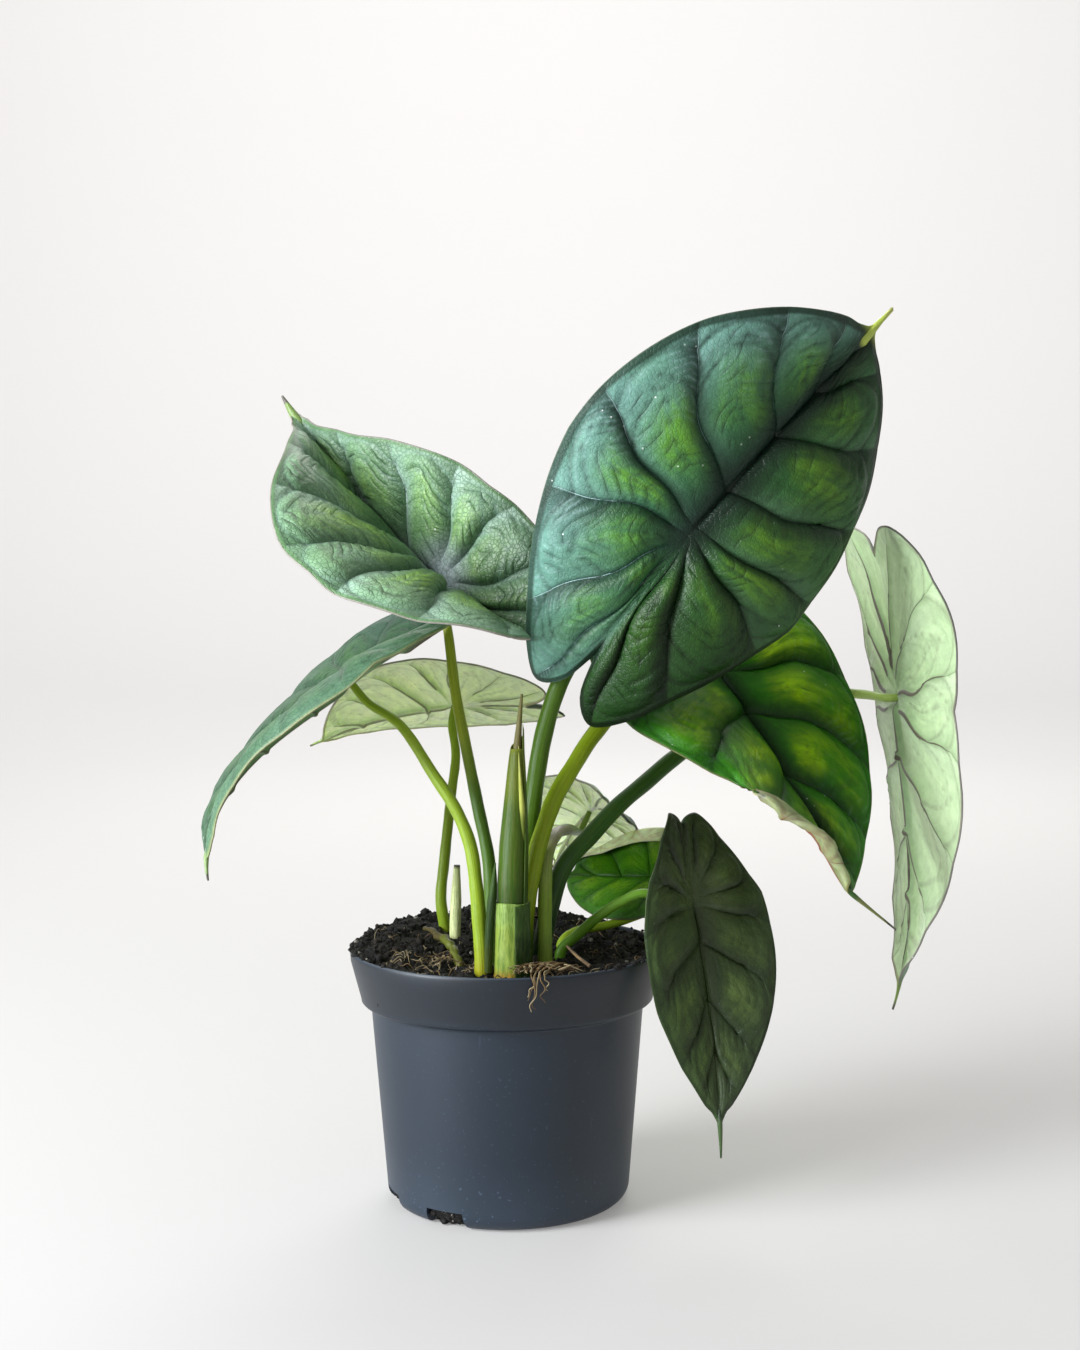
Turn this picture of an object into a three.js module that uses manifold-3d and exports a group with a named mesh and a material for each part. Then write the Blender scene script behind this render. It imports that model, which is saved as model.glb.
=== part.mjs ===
// A dragon scale alocasia in a round nursery pot, in millimetres, +Z up, +Y away from the viewer.
// The origin is the centre of the pot's foot, on the floor.
import * as THREE from "three";
import Module from "manifold-3d";

const wasm = await Module();
wasm.setup();
const { Manifold, Mesh: ManifoldMesh } = wasm;

const TAU = Math.PI * 2;

// Pot: a thin moulded cup with a flared collar and slots through its lower edge.
const POT_HEIGHT = 96.5;
const RIM_RADIUS = 60;
const COLLAR_HEIGHT = 21;
const COLLAR_FOOT_RADIUS = 56;
const BODY_TOP_RADIUS = 52.2;
const FOOT_RADIUS = 46.5;
const FOOT_FILLET = 6;
const WALL = 1.3;
const FLOOR = 1.6;
const POT_SIDES = 44;
// Turns of the drain slots from the back, anticlockwise seen from above, in two pairs.
const SLOT_TURNS = [108, 149, 288, 329];
const SLOT_WIDTH = 17;
const SLOT_HEIGHT = 4.6;
const SLOT_INNER_RADIUS = 37;

// Soil: peat heaped a little above the rim at the back and the left.
const SOIL_CLEARANCE = 0.35;
const SOIL_LEVEL = 94.8;
const SOIL_RISE_TO_BACK = 0.055;
const SOIL_RISE_TO_LEFT = 0.03;
const SOIL_HEAP = 2.6;
const SOIL_LUMP = 1.1;
const SOIL_RINGS = 8;
const SOIL_SIDES = 32;
const HOLE_CLEARANCE = 0.4;
const ROOT_DEPTH = 26;

// Blades: thickness, gap to the stalk, and the grid of rows and columns that both faces share.
const BLADE_THICKNESS = 0.7;
const STALK_GAP = 0.35;
const COLUMN_EASE = 1.35;
const ROW_STEP = 0.5;
const STALK_SIDES = 8;

// Half outline of a blade, from the notch between the lobes round to the drip tip,
// in lengths from the stalk to the tip. Every second point is where a side vein ends.
const OUTLINE_X = [
  0, 0.055, 0.165, 0.27, 0.35, 0.43, 0.5, 0.54, 0.555,
  0.54, 0.495, 0.425, 0.33, 0.225, 0.13, 0.055, 0.012, 0.006,
];
const OUTLINE_Y = [
  -0.56, -0.7, -0.765, -0.665, -0.53, -0.36, -0.17, 0, 0.16,
  0.33, 0.49, 0.62, 0.745, 0.85, 0.925, 0.965, 1, 1.08,
];
const LAST_ROW = 8.5;

// Where each side vein leaves the midrib, and how it curves on its way out.
const VEIN_ROWS = [0, 1, 2, 3, 4, 5, 6, 7, 8, 8.5];
const VEIN_START = [0, 0, 0, 0, 0.03, 0.2, 0.46, 0.68, 0.93, 1.08];
const VEIN_OUT = [0.5, 0.25, 0.35, 0.55, 0.62, 0.62, 0.6, 0.55, 0.5, 0.5];
const VEIN_UP = [0.5, 0.6, 0.45, 0.35, 0.3, 0.3, 0.35, 0.4, 0.5, 0.5];

// The blades. place is where the stalk joins, heading is the turn of the tip from the viewer
// toward +X, lift is its rise, roll turns the blade about its midrib, all angles in degrees.
// fold raises each half at the midrib, more or less toward the tip and the lobes, and curl bends
// it back down. arch and droop bend the midrib. relief and wave are shares of the length.
const BLADES = {
  upper_right: {
    place: [66.2, -45, 252.1], heading: 96, lift: 49, roll: 76, length: 105,
    lobes: 1.02, notch: 1.12, taper: 0.25, tipTaper: 0.06,
    left: { width: 1.02, fold: 22, tipFold: 23, curl: 9 },
    right: { width: 1.04, fold: -4, tipFold: 4, curl: 47 },
    archTip: 26, droop: -14, archLobes: 51, twist: -15, sway: 1,
    relief: 0.034, wave: 0.006, steps: 6, colour: 0x2f5f45,
  },
  upper_left: {
    place: [-24.1, 9.6, 235.6], heading: -132, lift: 32, roll: -22, length: 107,
    lobes: 0.85, notch: 1.4, taper: -0.26, tipTaper: 0.59,
    left: { width: 1.27, fold: 49, tipFold: 14, curl: 32 },
    right: { width: 0.75, fold: 70, tipFold: 28, curl: 8 },
    archTip: -16, droop: -6, archLobes: -37, twist: 7, sway: 2,
    relief: 0.026, wave: 0.012, steps: 6, colour: 0x55905a,
  },
  drooping_left: {
    place: [-57.9, -4.9, 197.6], heading: -68, lift: -34, roll: 27, length: 90.5,
    lobes: 0.74, notch: 1.9, taper: 0.02, tipTaper: -0.02,
    left: { width: 1.05, fold: 11, tipFold: -11, lobeFold: -20, curl: 40 },
    right: { width: 1.06, fold: 40, tipFold: -20, curl: 17 },
    archTip: -17, droop: 70, archLobes: 22, twist: -5, sway: -8,
    relief: 0.02, wave: 0.014, steps: 5, colour: 0x4a8562,
  },
  mid_left: {
    place: [-20.4, 44.9, 185.7], heading: -112, lift: -6, roll: 33, length: 60,
    lobes: 0.97, notch: 1, taper: 0.02, tipTaper: 0.06,
    left: { width: 1.01, fold: 13, tipFold: 4, curl: 10 },
    right: { width: 0.99, fold: 24, tipFold: 8, curl: 14 },
    archTip: 20, droop: 5, archLobes: 16, twist: 4, sway: -4,
    relief: 0.022, wave: 0.01, steps: 4, colour: 0x6f9a5e,
  },
  mid_right: {
    place: [82.7, 18.1, 201.6], heading: 45, lift: -48, roll: 4, length: 111,
    lobes: 0.92, notch: 1, taper: 0.07, tipTaper: 0.49,
    left: { width: 0.93, fold: 26, tipFold: -1, curl: 19 },
    right: { width: 0.89, fold: 11, tipFold: 17, curl: 53 },
    archTip: 4, droop: -10, archLobes: -7, twist: 22, sway: 16,
    relief: 0.03, wave: 0.014, steps: 6, colour: 0x3c7a22,
  },
  far_right: {
    place: [156.2, 24.9, 189.2], heading: 113, lift: -85, roll: 14, length: 117.5,
    lobes: 0.78, notch: 0.68, taper: -0.93, tipTaper: -0.04,
    left: { width: 0.95, fold: -1, tipFold: 7, curl: -26 },
    right: { width: 0.99, fold: -19, tipFold: 2, curl: -33 },
    archTip: -16, droop: 36, archLobes: 13, twist: -2, sway: 0,
    relief: 0.022, wave: 0.024, steps: 6, colour: 0x9dbb86,
  },
  low_right: {
    place: [69.6, -19.9, 117.1], heading: 27, lift: -74, roll: -8, length: 81.5,
    lobes: 0.52, notch: 0.51, taper: 0.22, tipTaper: 0.3,
    left: { width: 0.68, fold: 18, tipFold: 7, curl: 12 },
    right: { width: 0.61, fold: 19, tipFold: -9, curl: 18 },
    archTip: -1, droop: 10, archLobes: -3, twist: -21, sway: 0,
    relief: 0.024, wave: 0.01, steps: 5, colour: 0x34462f,
  },
  low_back: {
    place: [65.5, 19, 119.4], heading: -122, lift: -4, roll: -24, length: 49.8,
    lobes: 0.62, notch: 1, taper: 0, tipTaper: -0.05,
    left: { width: 0.9, fold: 4, tipFold: -6, curl: 18 },
    right: { width: 0.82, fold: 3, tipFold: 1, curl: -62 },
    archTip: 6, droop: -7, archLobes: 17, twist: 7, sway: 3,
    relief: 0.022, wave: 0.012, steps: 4, colour: 0x4f8f22,
  },
  small_back: {
    place: [35.2, 67, 139.5], heading: -166, lift: -18, roll: 31, length: 51.6,
    lobes: 1.03, notch: 1, taper: -0.04, tipTaper: 0.01,
    left: { width: 0.88, fold: 15, tipFold: 1, curl: 12 },
    right: { width: 0.88, fold: 8, tipFold: 8, curl: 18 },
    archTip: 25, droop: 5, archLobes: 22, twist: 7, sway: 9,
    relief: 0.02, wave: 0.016, steps: 4, colour: 0xa9bfa0,
  },
};

// The stalks, from the soil up to the blade that each one carries.
// radii are at the soil, at two thirds of the way and at the blade.
const STALKS = {
  upper_right: {
    radii: [3.7, 3.3, 1.9], colour: 0x3c5a2a,
    path: [
      [3, -15, 92], [4.5, -15, 107], [6.9, -15, 127.8], [9.7, -14, 151.4], [14.8, -14, 180.7],
      [21.6, -15, 200.6], [33.5, -17, 219.6], [49, -22, 238],
    ],
  },
  upper_left: {
    radii: [2.9, 2.1, 1.7], lead: 6, colour: 0x6c8a2e,
    path: [
      [-5.6, -23, 92], [-6, -22, 108.4], [-6.5, -19, 131.2], [-10.5, -14, 151.6],
      [-14.6, -8, 171.8], [-18.7, -2, 192.6], [-22, 5, 218.5],
    ],
  },
  drooping_left: {
    radii: [3.1, 2.2, 1.5], colour: 0x86a02f,
    path: [
      [-9.2, -35, 88], [-9.2, -35, 98], [-10, -34, 110.7], [-11.2, -32, 125.1],
      [-13.3, -29, 139.4], [-18.4, -26, 152], [-27, -21, 164.9], [-39.4, -14, 182.6],
    ],
  },
  mid_left: {
    radii: [2.5, 2, 1.6], colour: 0x7f9a3c,
    path: [
      [-24.2, 27, 90], [-24.7, 27, 97.4], [-26.2, 27, 110.3], [-24.9, 28, 123.7],
      [-21.9, 31, 150.6], [-20, 35, 167],
    ],
  },
  mid_right: {
    radii: [3.5, 3.1, 2], colour: 0x7d8f1f,
    path: [
      [6, -25, 92], [7, -25, 112.6], [10.2, -24, 131.8], [13.7, -22, 143.8], [18.6, -19, 156.1],
      [25.6, -14, 167.1], [33, -8, 177.5], [46, 3, 189.5], [63, 14, 196],
    ],
  },
  far_right: {
    radii: [3.7, 3.1, 1.5], lead: 4, colour: 0x5c8232,
    path: [
      [13, -8, 92], [14.8, -8, 105.6], [21.6, -4, 126.7], [32.3, 4, 137.8],
      [44, 12, 148.7], [54.7, 19, 156.5], [68.1, 27, 166.3], [90.4, 37, 179],
      [112, 51, 186.5], [130, 52, 189.5], [145, 39, 189.5],
    ],
  },
  low_right: {
    radii: [2.2, 1.9, 1.4], colour: 0x6fa03a,
    path: [
      [20, -11.5, 88], [20.5, -11.5, 96.5], [26.1, -12, 102], [34.7, -14, 109.9],
      [43.3, -15, 115.6], [51, -15, 118.6],
    ],
  },
  low_back: {
    radii: [2, 1.7, 1.3], colour: 0x5f8a33,
    path: [[21, 5, 88], [21.2, 5.4, 96], [26, 9, 99.4], [40, 15.5, 101], [55, 20, 105]],
  },
  small_back: {
    radii: [3, 2.2, 1.1], colour: 0x7b8f4a,
    path: [
      [14, -28, 88], [14, -27.5, 100], [14.2, -24, 118], [15.4, -16, 134],
      [19, -3, 139.5], [24.5, 18, 138.5], [29, 48, 133.5],
    ],
  },
};

// The main shoot: the cut sheath round its foot, then the rolled sheath up to its point.
const SHOOT_PATH = [
  [1.8, -37, 84], [1.8, -37, 98], [1.9, -36.2, 119], [2, -36, 125.3],
  [2.6, -34.4, 140], [3.4, -32.6, 157], [4.1, -31, 173.7], [5.3, -30, 187.2], [6.1, -29, 194.8],
];
const SHEATH_RADIUS = 6.5;
const SHEATH_TOP = 119.5;
const SHOOT_RADIUS = 5.7;

// The cut stub of an old stalk, and a shrivelled stalk that leans over the soil.
const STUB_PATH = [[-20.6, 19.6, 84], [-20.5, 20, 98], [-20, 20.6, 111], [-19.5, 21, 124.4]];
const STUB_RADII = [2.1, 2.2, 1.5];
const OLD_STALK_PATH = [
  [-17, -26.5, 84], [-18, -24, 94.5], [-21, -16, 99.6], [-26, -6, 101.5], [-31.5, 3, 103],
];
const OLD_STALK_RADII = [1.5, 1.6, 1.1];

const rad = (degrees) => (degrees * Math.PI) / 180;
const smooth = (a, b, v) => {
  const t = Math.min(1, Math.max(0, (v - a) / (b - a)));
  return t * t * (3 - 2 * t);
};

function linear(keys, values, v) {
  let i = 0;
  while (i < keys.length - 2 && v >= keys[i + 1]) i += 1;
  const f = Math.min(1, Math.max(0, (v - keys[i]) / (keys[i + 1] - keys[i])));
  return values[i] + (values[i + 1] - values[i]) * f;
}

// A smooth curve through values that stand half a row apart.
function rowCurve(values, row) {
  const last = values.length - 1;
  const i = Math.min(last - 1, Math.floor(row * 2));
  const f = row * 2 - i;
  const slope = (k) => (values[Math.min(last, k + 1)] - values[Math.max(0, k - 1)])
    / (Math.min(last, k + 1) - Math.max(0, k - 1));
  const f2 = f * f;
  const f3 = f2 * f;
  return (2 * f3 - 3 * f2 + 1) * values[i] + (f3 - 2 * f2 + f) * slope(i)
    + (3 * f2 - 2 * f3) * values[i + 1] + (f3 - f2) * slope(i + 1);
}

// A place on the flat blade: row runs from the notch to the tip, along from midrib to margin.
function flatPlace(blade, side, row, along) {
  const half = side > 0 ? blade.right : blade.left;
  let endX = rowCurve(OUTLINE_X, row) * half.width;
  let endY = rowCurve(OUTLINE_Y, row);
  if (row < 1) endY = -0.765 + (endY + 0.765) * blade.notch;
  endX *= 1 + blade.taper * Math.min(endY, 0)
    - blade.tipTaper * Math.min(1, Math.max(0, endY)) ** 2;
  if (endY < 0) endY *= blade.lobes;
  const start = linear(VEIN_ROWS, VEIN_START, row);
  const middleX = linear(VEIN_ROWS, VEIN_OUT, row) * endX;
  const middleY = start + linear(VEIN_ROWS, VEIN_UP, row) * (endY - start);
  const a = (1 - along) ** 2;
  const b = 2 * along * (1 - along);
  const c = along * along;
  return [
    side * blade.length * (b * middleX + c * endX),
    blade.length * (a * start + b * middleY + c * endY),
  ];
}

// The raised quilting between the side veins, and the waved margin that turns under.
function reliefHeight(blade, row, along) {
  const f = row - Math.floor(row);
  const pillow = 1 - Math.abs(2 * f - 1) ** 2.4;
  const span = linear([0, 1, 2, 7, 8, 8.5], [0.35, 0.7, 1, 0.8, 0.1, 0], row);
  const ramp = Math.sin(Math.PI * along ** 0.8) ** 0.7;
  const edge = smooth(0.84, 1, along) * smooth(8.6, 7, row);
  const wave = blade.wave * (pillow - 0.5) * smooth(0.6, 1, along) * smooth(8.4, 7.4, row);
  return blade.length * (blade.relief * span * pillow * ramp - 0.012 * edge + wave);
}

// Bends a place on the flat blade, with its height, into the blade's own frame.
function bendPlace(blade, x, y, height) {
  const v = y / blade.length;
  const near = Math.min(1, Math.max(-1, v));
  const side = x >= 0 ? 1 : -1;
  const half = x >= 0 ? blade.right : blade.left;
  const lobeFold = half.lobeFold ?? -half.tipFold;
  const fold = rad(half.fold + (near > 0 ? half.tipFold * near : -lobeFold * near));
  const curl = rad(half.curl) / (0.5 * blade.length);
  const angle = fold - curl * Math.abs(x);
  const across = side * ((Math.sin(fold) - Math.sin(angle)) / curl - Math.sin(angle) * height);
  const above = (Math.cos(angle) - Math.cos(fold)) / curl + Math.cos(angle) * height;
  const twist = rad(blade.twist) * v;
  const tx = across * Math.cos(twist) - above * Math.sin(twist);
  const tz = across * Math.sin(twist) + above * Math.cos(twist);
  const pitch = (w) => rad(w > 0 ? blade.archTip * w + blade.droop * w * w : blade.archLobes * w);
  const steps = 24;
  const spine = new THREE.Vector3();
  for (let i = 0; i < steps; i += 1) {
    const w = (v * (i + 0.5)) / steps;
    const sway = rad(blade.sway) * w;
    spine.x += Math.cos(pitch(w)) * Math.sin(sway);
    spine.y += Math.cos(pitch(w)) * Math.cos(sway);
    spine.z -= Math.sin(pitch(w));
  }
  spine.multiplyScalar((v * blade.length) / steps);
  const p = pitch(v);
  const s = rad(blade.sway) * v;
  const tangent = new THREE.Vector3(
    Math.cos(p) * Math.sin(s), Math.cos(p) * Math.cos(s), -Math.sin(p));
  const normal = new THREE.Vector3(
    Math.sin(p) * Math.sin(s), Math.sin(p) * Math.cos(s), Math.cos(p));
  const right = new THREE.Vector3().crossVectors(tangent, normal);
  return spine.addScaledVector(right, tx).addScaledVector(normal, tz);
}

// The blade's axes in the shared frame: right, toward the tip, and out of the upper face.
function bladeAxes(blade) {
  const a = rad(blade.heading);
  const e = rad(blade.lift);
  const r = rad(blade.roll);
  const tip = new THREE.Vector3(Math.cos(e) * Math.sin(a), -Math.cos(e) * Math.cos(a), Math.sin(e));
  const up = new THREE.Vector3(-Math.sin(e) * Math.sin(a), Math.sin(e) * Math.cos(a), Math.cos(e));
  const level = new THREE.Vector3().crossVectors(tip, up);
  const face = up.multiplyScalar(Math.cos(r)).addScaledVector(level, Math.sin(r));
  return { right: new THREE.Vector3().crossVectors(tip, face), tip, face };
}

function bladePoint(blade, axes, side, row, along) {
  const [x, y] = flatPlace(blade, side, row, along);
  const local = bendPlace(blade, x, y, reliefHeight(blade, row, along));
  return new THREE.Vector3(...blade.place)
    .addScaledVector(axes.right, local.x)
    .addScaledVector(axes.tip, local.y)
    .addScaledVector(axes.face, local.z);
}

// Turns an open sheet into a closed solid of even thickness, with the same split on both faces.
function thicken(points, faces, thickness) {
  const normals = points.map(() => new THREE.Vector3());
  for (const [a, b, c] of faces) {
    const u = new THREE.Vector3().subVectors(points[b], points[a]);
    const v = new THREE.Vector3().subVectors(points[c], points[a]);
    const n = u.cross(v);
    for (const k of [a, b, c]) normals[k].add(n);
  }
  const count = points.length;
  const all = [];
  for (const side of [0.5, -0.5]) {
    points.forEach((p, k) => {
      all.push(p.clone().addScaledVector(normals[k].clone().normalize(), side * thickness));
    });
  }
  const solid = [];
  const edges = new Map();
  for (const [a, b, c] of faces) {
    solid.push([a, b, c], [a + count, c + count, b + count]);
    for (const [i, j] of [[a, b], [b, c], [c, a]]) {
      edges.set(`${i},${j}`, [i, j]);
    }
  }
  for (const [i, j] of edges.values()) {
    if (!edges.has(`${j},${i}`)) {
      solid.push([j, i, i + count], [j, i + count, j + count]);
    }
  }
  return geometryFrom(all, solid);
}

function geometryFrom(points, faces) {
  const geometry = new THREE.BufferGeometry();
  const flat = new Float32Array(points.length * 3);
  points.forEach((p, k) => p.toArray(flat, k * 3));
  geometry.setAttribute("position", new THREE.BufferAttribute(flat, 3));
  geometry.setIndex(faces.flat());
  geometry.computeVertexNormals();
  return geometry;
}

function bladeGeometry(blade) {
  const axes = bladeAxes(blade);
  const rows = [];
  for (let row = 0; row < LAST_ROW - 1e-6; row += ROW_STEP) rows.push(row);
  rows.push(LAST_ROW);
  const columns = [];
  for (let j = 0; j <= blade.steps; j += 1) columns.push(1 - (1 - j / blade.steps) ** COLUMN_EASE);
  const points = [];
  const index = new Map();
  const vertex = (side, row, column) => {
    const along = columns[column];
    const start = linear(VEIN_ROWS, VEIN_START, row);
    let key = `${side},${row},${column}`;
    if (column === 0) key = `midrib,${start.toFixed(6)}`;
    else if (row === 0) key = `notch,${column}`;
    if (!index.has(key)) {
      index.set(key, points.length);
      points.push(bladePoint(blade, axes, side, row, along));
    }
    return index.get(key);
  };
  const faces = [];
  const add = (side, a, b, c) => {
    if (a === b || b === c || c === a) return;
    faces.push(side > 0 ? [a, b, c] : [a, c, b]);
  };
  for (const side of [1, -1]) {
    for (let i = 0; i < rows.length - 1; i += 1) {
      for (let j = 0; j < blade.steps; j += 1) {
        const a = vertex(side, rows[i], j);
        const b = vertex(side, rows[i], j + 1);
        const c = vertex(side, rows[i + 1], j + 1);
        const d = vertex(side, rows[i + 1], j);
        if ((i + j) % 2 === 0) {
          add(side, a, b, c);
          add(side, a, c, d);
        } else {
          add(side, a, b, d);
          add(side, b, c, d);
        }
      }
    }
  }
  return thicken(points, faces, BLADE_THICKNESS);
}

// A closed tube along a smooth curve, with flat ends and a radius given along its length.
// grow makes it wider all round and longer at its foot.
function tubeGeometry(path, radiusAt, steps, sides, grow = 0) {
  const curve = new THREE.CatmullRomCurve3(path.map((p) => new THREE.Vector3(...p)), false, "centripetal");
  const frames = curve.computeFrenetFrames(steps, false);
  const points = [];
  const faces = [];
  for (let i = 0; i <= steps; i += 1) {
    const centre = curve.getPointAt(i / steps);
    const radius = radiusAt(i / steps, centre) + grow;
    if (i === 0) centre.addScaledVector(frames.tangents[0], -grow);
    for (let j = 0; j < sides; j += 1) {
      const a = (TAU * j) / sides;
      points.push(centre.clone()
        .addScaledVector(frames.normals[i], radius * Math.cos(a))
        .addScaledVector(frames.binormals[i], radius * Math.sin(a)));
    }
  }
  for (let i = 0; i < steps; i += 1) {
    for (let j = 0; j < sides; j += 1) {
      const a = i * sides + j;
      const b = i * sides + ((j + 1) % sides);
      faces.push([a, b, b + sides], [a, b + sides, a + sides]);
    }
  }
  const foot = points.push(curve.getPointAt(0).addScaledVector(frames.tangents[0], -grow)) - 1;
  const head = points.push(curve.getPointAt(1)) - 1;
  for (let j = 0; j < sides; j += 1) {
    faces.push([foot, (j + 1) % sides, j]);
    faces.push([head, steps * sides + j, steps * sides + ((j + 1) % sides)]);
  }
  return geometryFrom(points, faces);
}

// The whole path of a stalk: its foot in the soil, its way up, and its end below the blade.
function stalkPath(name) {
  const stalk = STALKS[name];
  const blade = BLADES[name];
  const { face } = bladeAxes(blade);
  const joint = new THREE.Vector3(...blade.place);
  const endRadius = stalk.radii[2];
  const drop = Math.max(0, -Math.sin(rad(Math.min(blade.left.fold, blade.right.fold))));
  const reach = BLADE_THICKNESS / 2 + STALK_GAP + endRadius * (drop + 0.12);
  const [x, y, z] = stalk.path[0];
  return [
    [x, y, z - ROOT_DEPTH],
    ...stalk.path,
    joint.clone().addScaledVector(face, -(stalk.lead ?? 9)).toArray(),
    joint.clone().addScaledVector(face, -reach).toArray(),
  ];
}

function threeRadii(radii) {
  return (t) => linear([0, 0.66, 1], radii, t);
}

const closedMesh = (geometry) => new ManifoldMesh({
  numProp: 3,
  vertProperties: Float32Array.from(geometry.getAttribute("position").array),
  triVerts: Uint32Array.from(geometry.getIndex().array),
});

function fromManifold(manifold) {
  const mesh = manifold.getMesh();
  const geometry = new THREE.BufferGeometry();
  geometry.setAttribute("position", new THREE.BufferAttribute(new Float32Array(mesh.vertProperties), 3));
  geometry.setIndex(Array.from(mesh.triVerts));
  geometry.computeVertexNormals();
  return geometry;
}

// A closed turned solid from a profile of [radius, height] that starts and ends on the axis.
function turned(profile, sides) {
  const points = [];
  const rings = profile.map(([r, z]) => {
    if (r === 0) return [points.push(new THREE.Vector3(0, 0, z)) - 1];
    const ring = [];
    for (let j = 0; j < sides; j += 1) {
      const a = (TAU * j) / sides;
      ring.push(points.push(new THREE.Vector3(r * Math.cos(a), r * Math.sin(a), z)) - 1);
    }
    return ring;
  });
  const faces = [];
  for (let i = 0; i < rings.length - 1; i += 1) {
    const lower = rings[i];
    const upper = rings[i + 1];
    for (let j = 0; j < sides; j += 1) {
      const k = (j + 1) % sides;
      if (lower.length > 1) faces.push([lower[j], lower[k], upper[upper.length > 1 ? k : 0]]);
      if (upper.length > 1) faces.push([lower[lower.length > 1 ? j : 0], upper[k], upper[j]]);
    }
  }
  return geometryFrom(points, faces);
}

const collarFoot = POT_HEIGHT - COLLAR_HEIGHT;
const innerRadius = (z) => {
  if (z > collarFoot + 3) {
    return COLLAR_FOOT_RADIUS - WALL
      + ((RIM_RADIUS - COLLAR_FOOT_RADIUS) * (z - collarFoot)) / COLLAR_HEIGHT;
  }
  if (z > collarFoot - 1) {
    const low = BODY_TOP_RADIUS - WALL;
    const high = COLLAR_FOOT_RADIUS - WALL + ((RIM_RADIUS - COLLAR_FOOT_RADIUS) * 3) / COLLAR_HEIGHT;
    return low + ((high - low) * (z - collarFoot + 1)) / 4;
  }
  return FOOT_RADIUS - WALL
    + ((BODY_TOP_RADIUS - FOOT_RADIUS) * Math.max(0, z - FOOT_FILLET)) / (collarFoot - FOOT_FILLET);
};

function potGeometry() {
  const fillet = [];
  for (let i = 0; i <= 3; i += 1) {
    const a = rad(30 * i);
    fillet.push([
      FOOT_RADIUS - FOOT_FILLET * (1 - Math.sin(a)) ,
      FOOT_FILLET * (1 - Math.cos(a)),
    ]);
  }
  const profile = [
    [0, 0],
    ...fillet,
    [BODY_TOP_RADIUS, collarFoot],
    [COLLAR_FOOT_RADIUS, collarFoot + 2.4],
    [RIM_RADIUS, POT_HEIGHT - 1.2],
    [RIM_RADIUS - 0.2, POT_HEIGHT - 0.3],
    [RIM_RADIUS - 0.6, POT_HEIGHT],
    [RIM_RADIUS - WALL - 0.2, POT_HEIGHT - 0.2],
    [innerRadius(collarFoot + 3.5), collarFoot + 3.5],
    [innerRadius(collarFoot - 1), collarFoot - 1],
    [innerRadius(FOOT_FILLET), FOOT_FILLET],
    [FOOT_RADIUS - FOOT_FILLET, FLOOR],
    [0, FLOOR],
  ];
  let pot = new Manifold(closedMesh(turned(profile, POT_SIDES)));
  const depth = FOOT_RADIUS + 6 - SLOT_INNER_RADIUS;
  for (const turn of SLOT_TURNS) {
    const slot = Manifold.cube([SLOT_WIDTH, depth, SLOT_HEIGHT + 2], false)
      .translate([-SLOT_WIDTH / 2, SLOT_INNER_RADIUS, -2])
      .rotate([0, 0, turn]);
    pot = pot.subtract(slot);
  }
  return fromManifold(pot);
}

// Height of the soil, with lumps from a few crossed waves.
function soilHeight(x, y) {
  const lumps = Math.sin(x * 0.31 + y * 0.17 + 1.3) * Math.sin(y * 0.29 - x * 0.11 + 0.4)
    + 0.6 * Math.sin(x * 0.67 - y * 0.43) * Math.sin(y * 0.71 + x * 0.23 + 2)
    + 0.35 * Math.sin(x * 1.3 + 0.7) * Math.sin(y * 1.17 + 1.9);
  const heap = smooth(20, 54, y) + 0.8 * smooth(-25, -54, x) * smooth(-30, 10, y);
  return SOIL_LEVEL + SOIL_RISE_TO_BACK * y - SOIL_RISE_TO_LEFT * x + SOIL_HEAP * heap
    + SOIL_LUMP * lumps;
}

function soilGeometry(stems) {
  const points = [];
  const faces = [];
  const topCentre = points.push(new THREE.Vector3(0, 0, soilHeight(0, 0))) - 1;
  const rings = [];
  const ring = (place) => {
    const made = [];
    for (let j = 0; j < SOIL_SIDES; j += 1) {
      const a = (TAU * j) / SOIL_SIDES;
      made.push(points.push(place(Math.cos(a), Math.sin(a))) - 1);
    }
    rings.push(made);
  };
  const edge = RIM_RADIUS - WALL - 1;
  for (let i = 1; i < SOIL_RINGS; i += 1) {
    const r = edge * (i / SOIL_RINGS) ** 0.85;
    ring((c, s) => new THREE.Vector3(r * c, r * s, soilHeight(r * c, r * s)));
  }
  for (const z of [93.5, collarFoot + 3.5, collarFoot - 1, FOOT_FILLET + 1]) {
    const r = innerRadius(z) - SOIL_CLEARANCE - 0.25;
    ring((c, s) => new THREE.Vector3(r * c, r * s, z));
  }
  const floor = FLOOR + SOIL_CLEARANCE;
  const footRadius = FOOT_RADIUS - FOOT_FILLET - 1.5;
  ring((c, s) => new THREE.Vector3(footRadius * c, footRadius * s, floor));
  const bottomCentre = points.push(new THREE.Vector3(0, 0, floor)) - 1;
  for (let j = 0; j < SOIL_SIDES; j += 1) {
    const k = (j + 1) % SOIL_SIDES;
    faces.push([topCentre, rings[0][j], rings[0][k]]);
    for (let i = 0; i < rings.length - 1; i += 1) {
      faces.push([rings[i][j], rings[i + 1][j], rings[i + 1][k]]);
      faces.push([rings[i][j], rings[i + 1][k], rings[i][k]]);
    }
    faces.push([rings[rings.length - 1][j], bottomCentre, rings[rings.length - 1][k]]);
  }
  let soil = new Manifold(closedMesh(geometryFrom(points, faces)));
  for (const stem of stems) soil = soil.subtract(stem);
  return fromManifold(soil);
}

const finish = (colour, roughness) => new THREE.MeshStandardMaterial({
  color: colour, roughness, metalness: 0,
});

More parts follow.
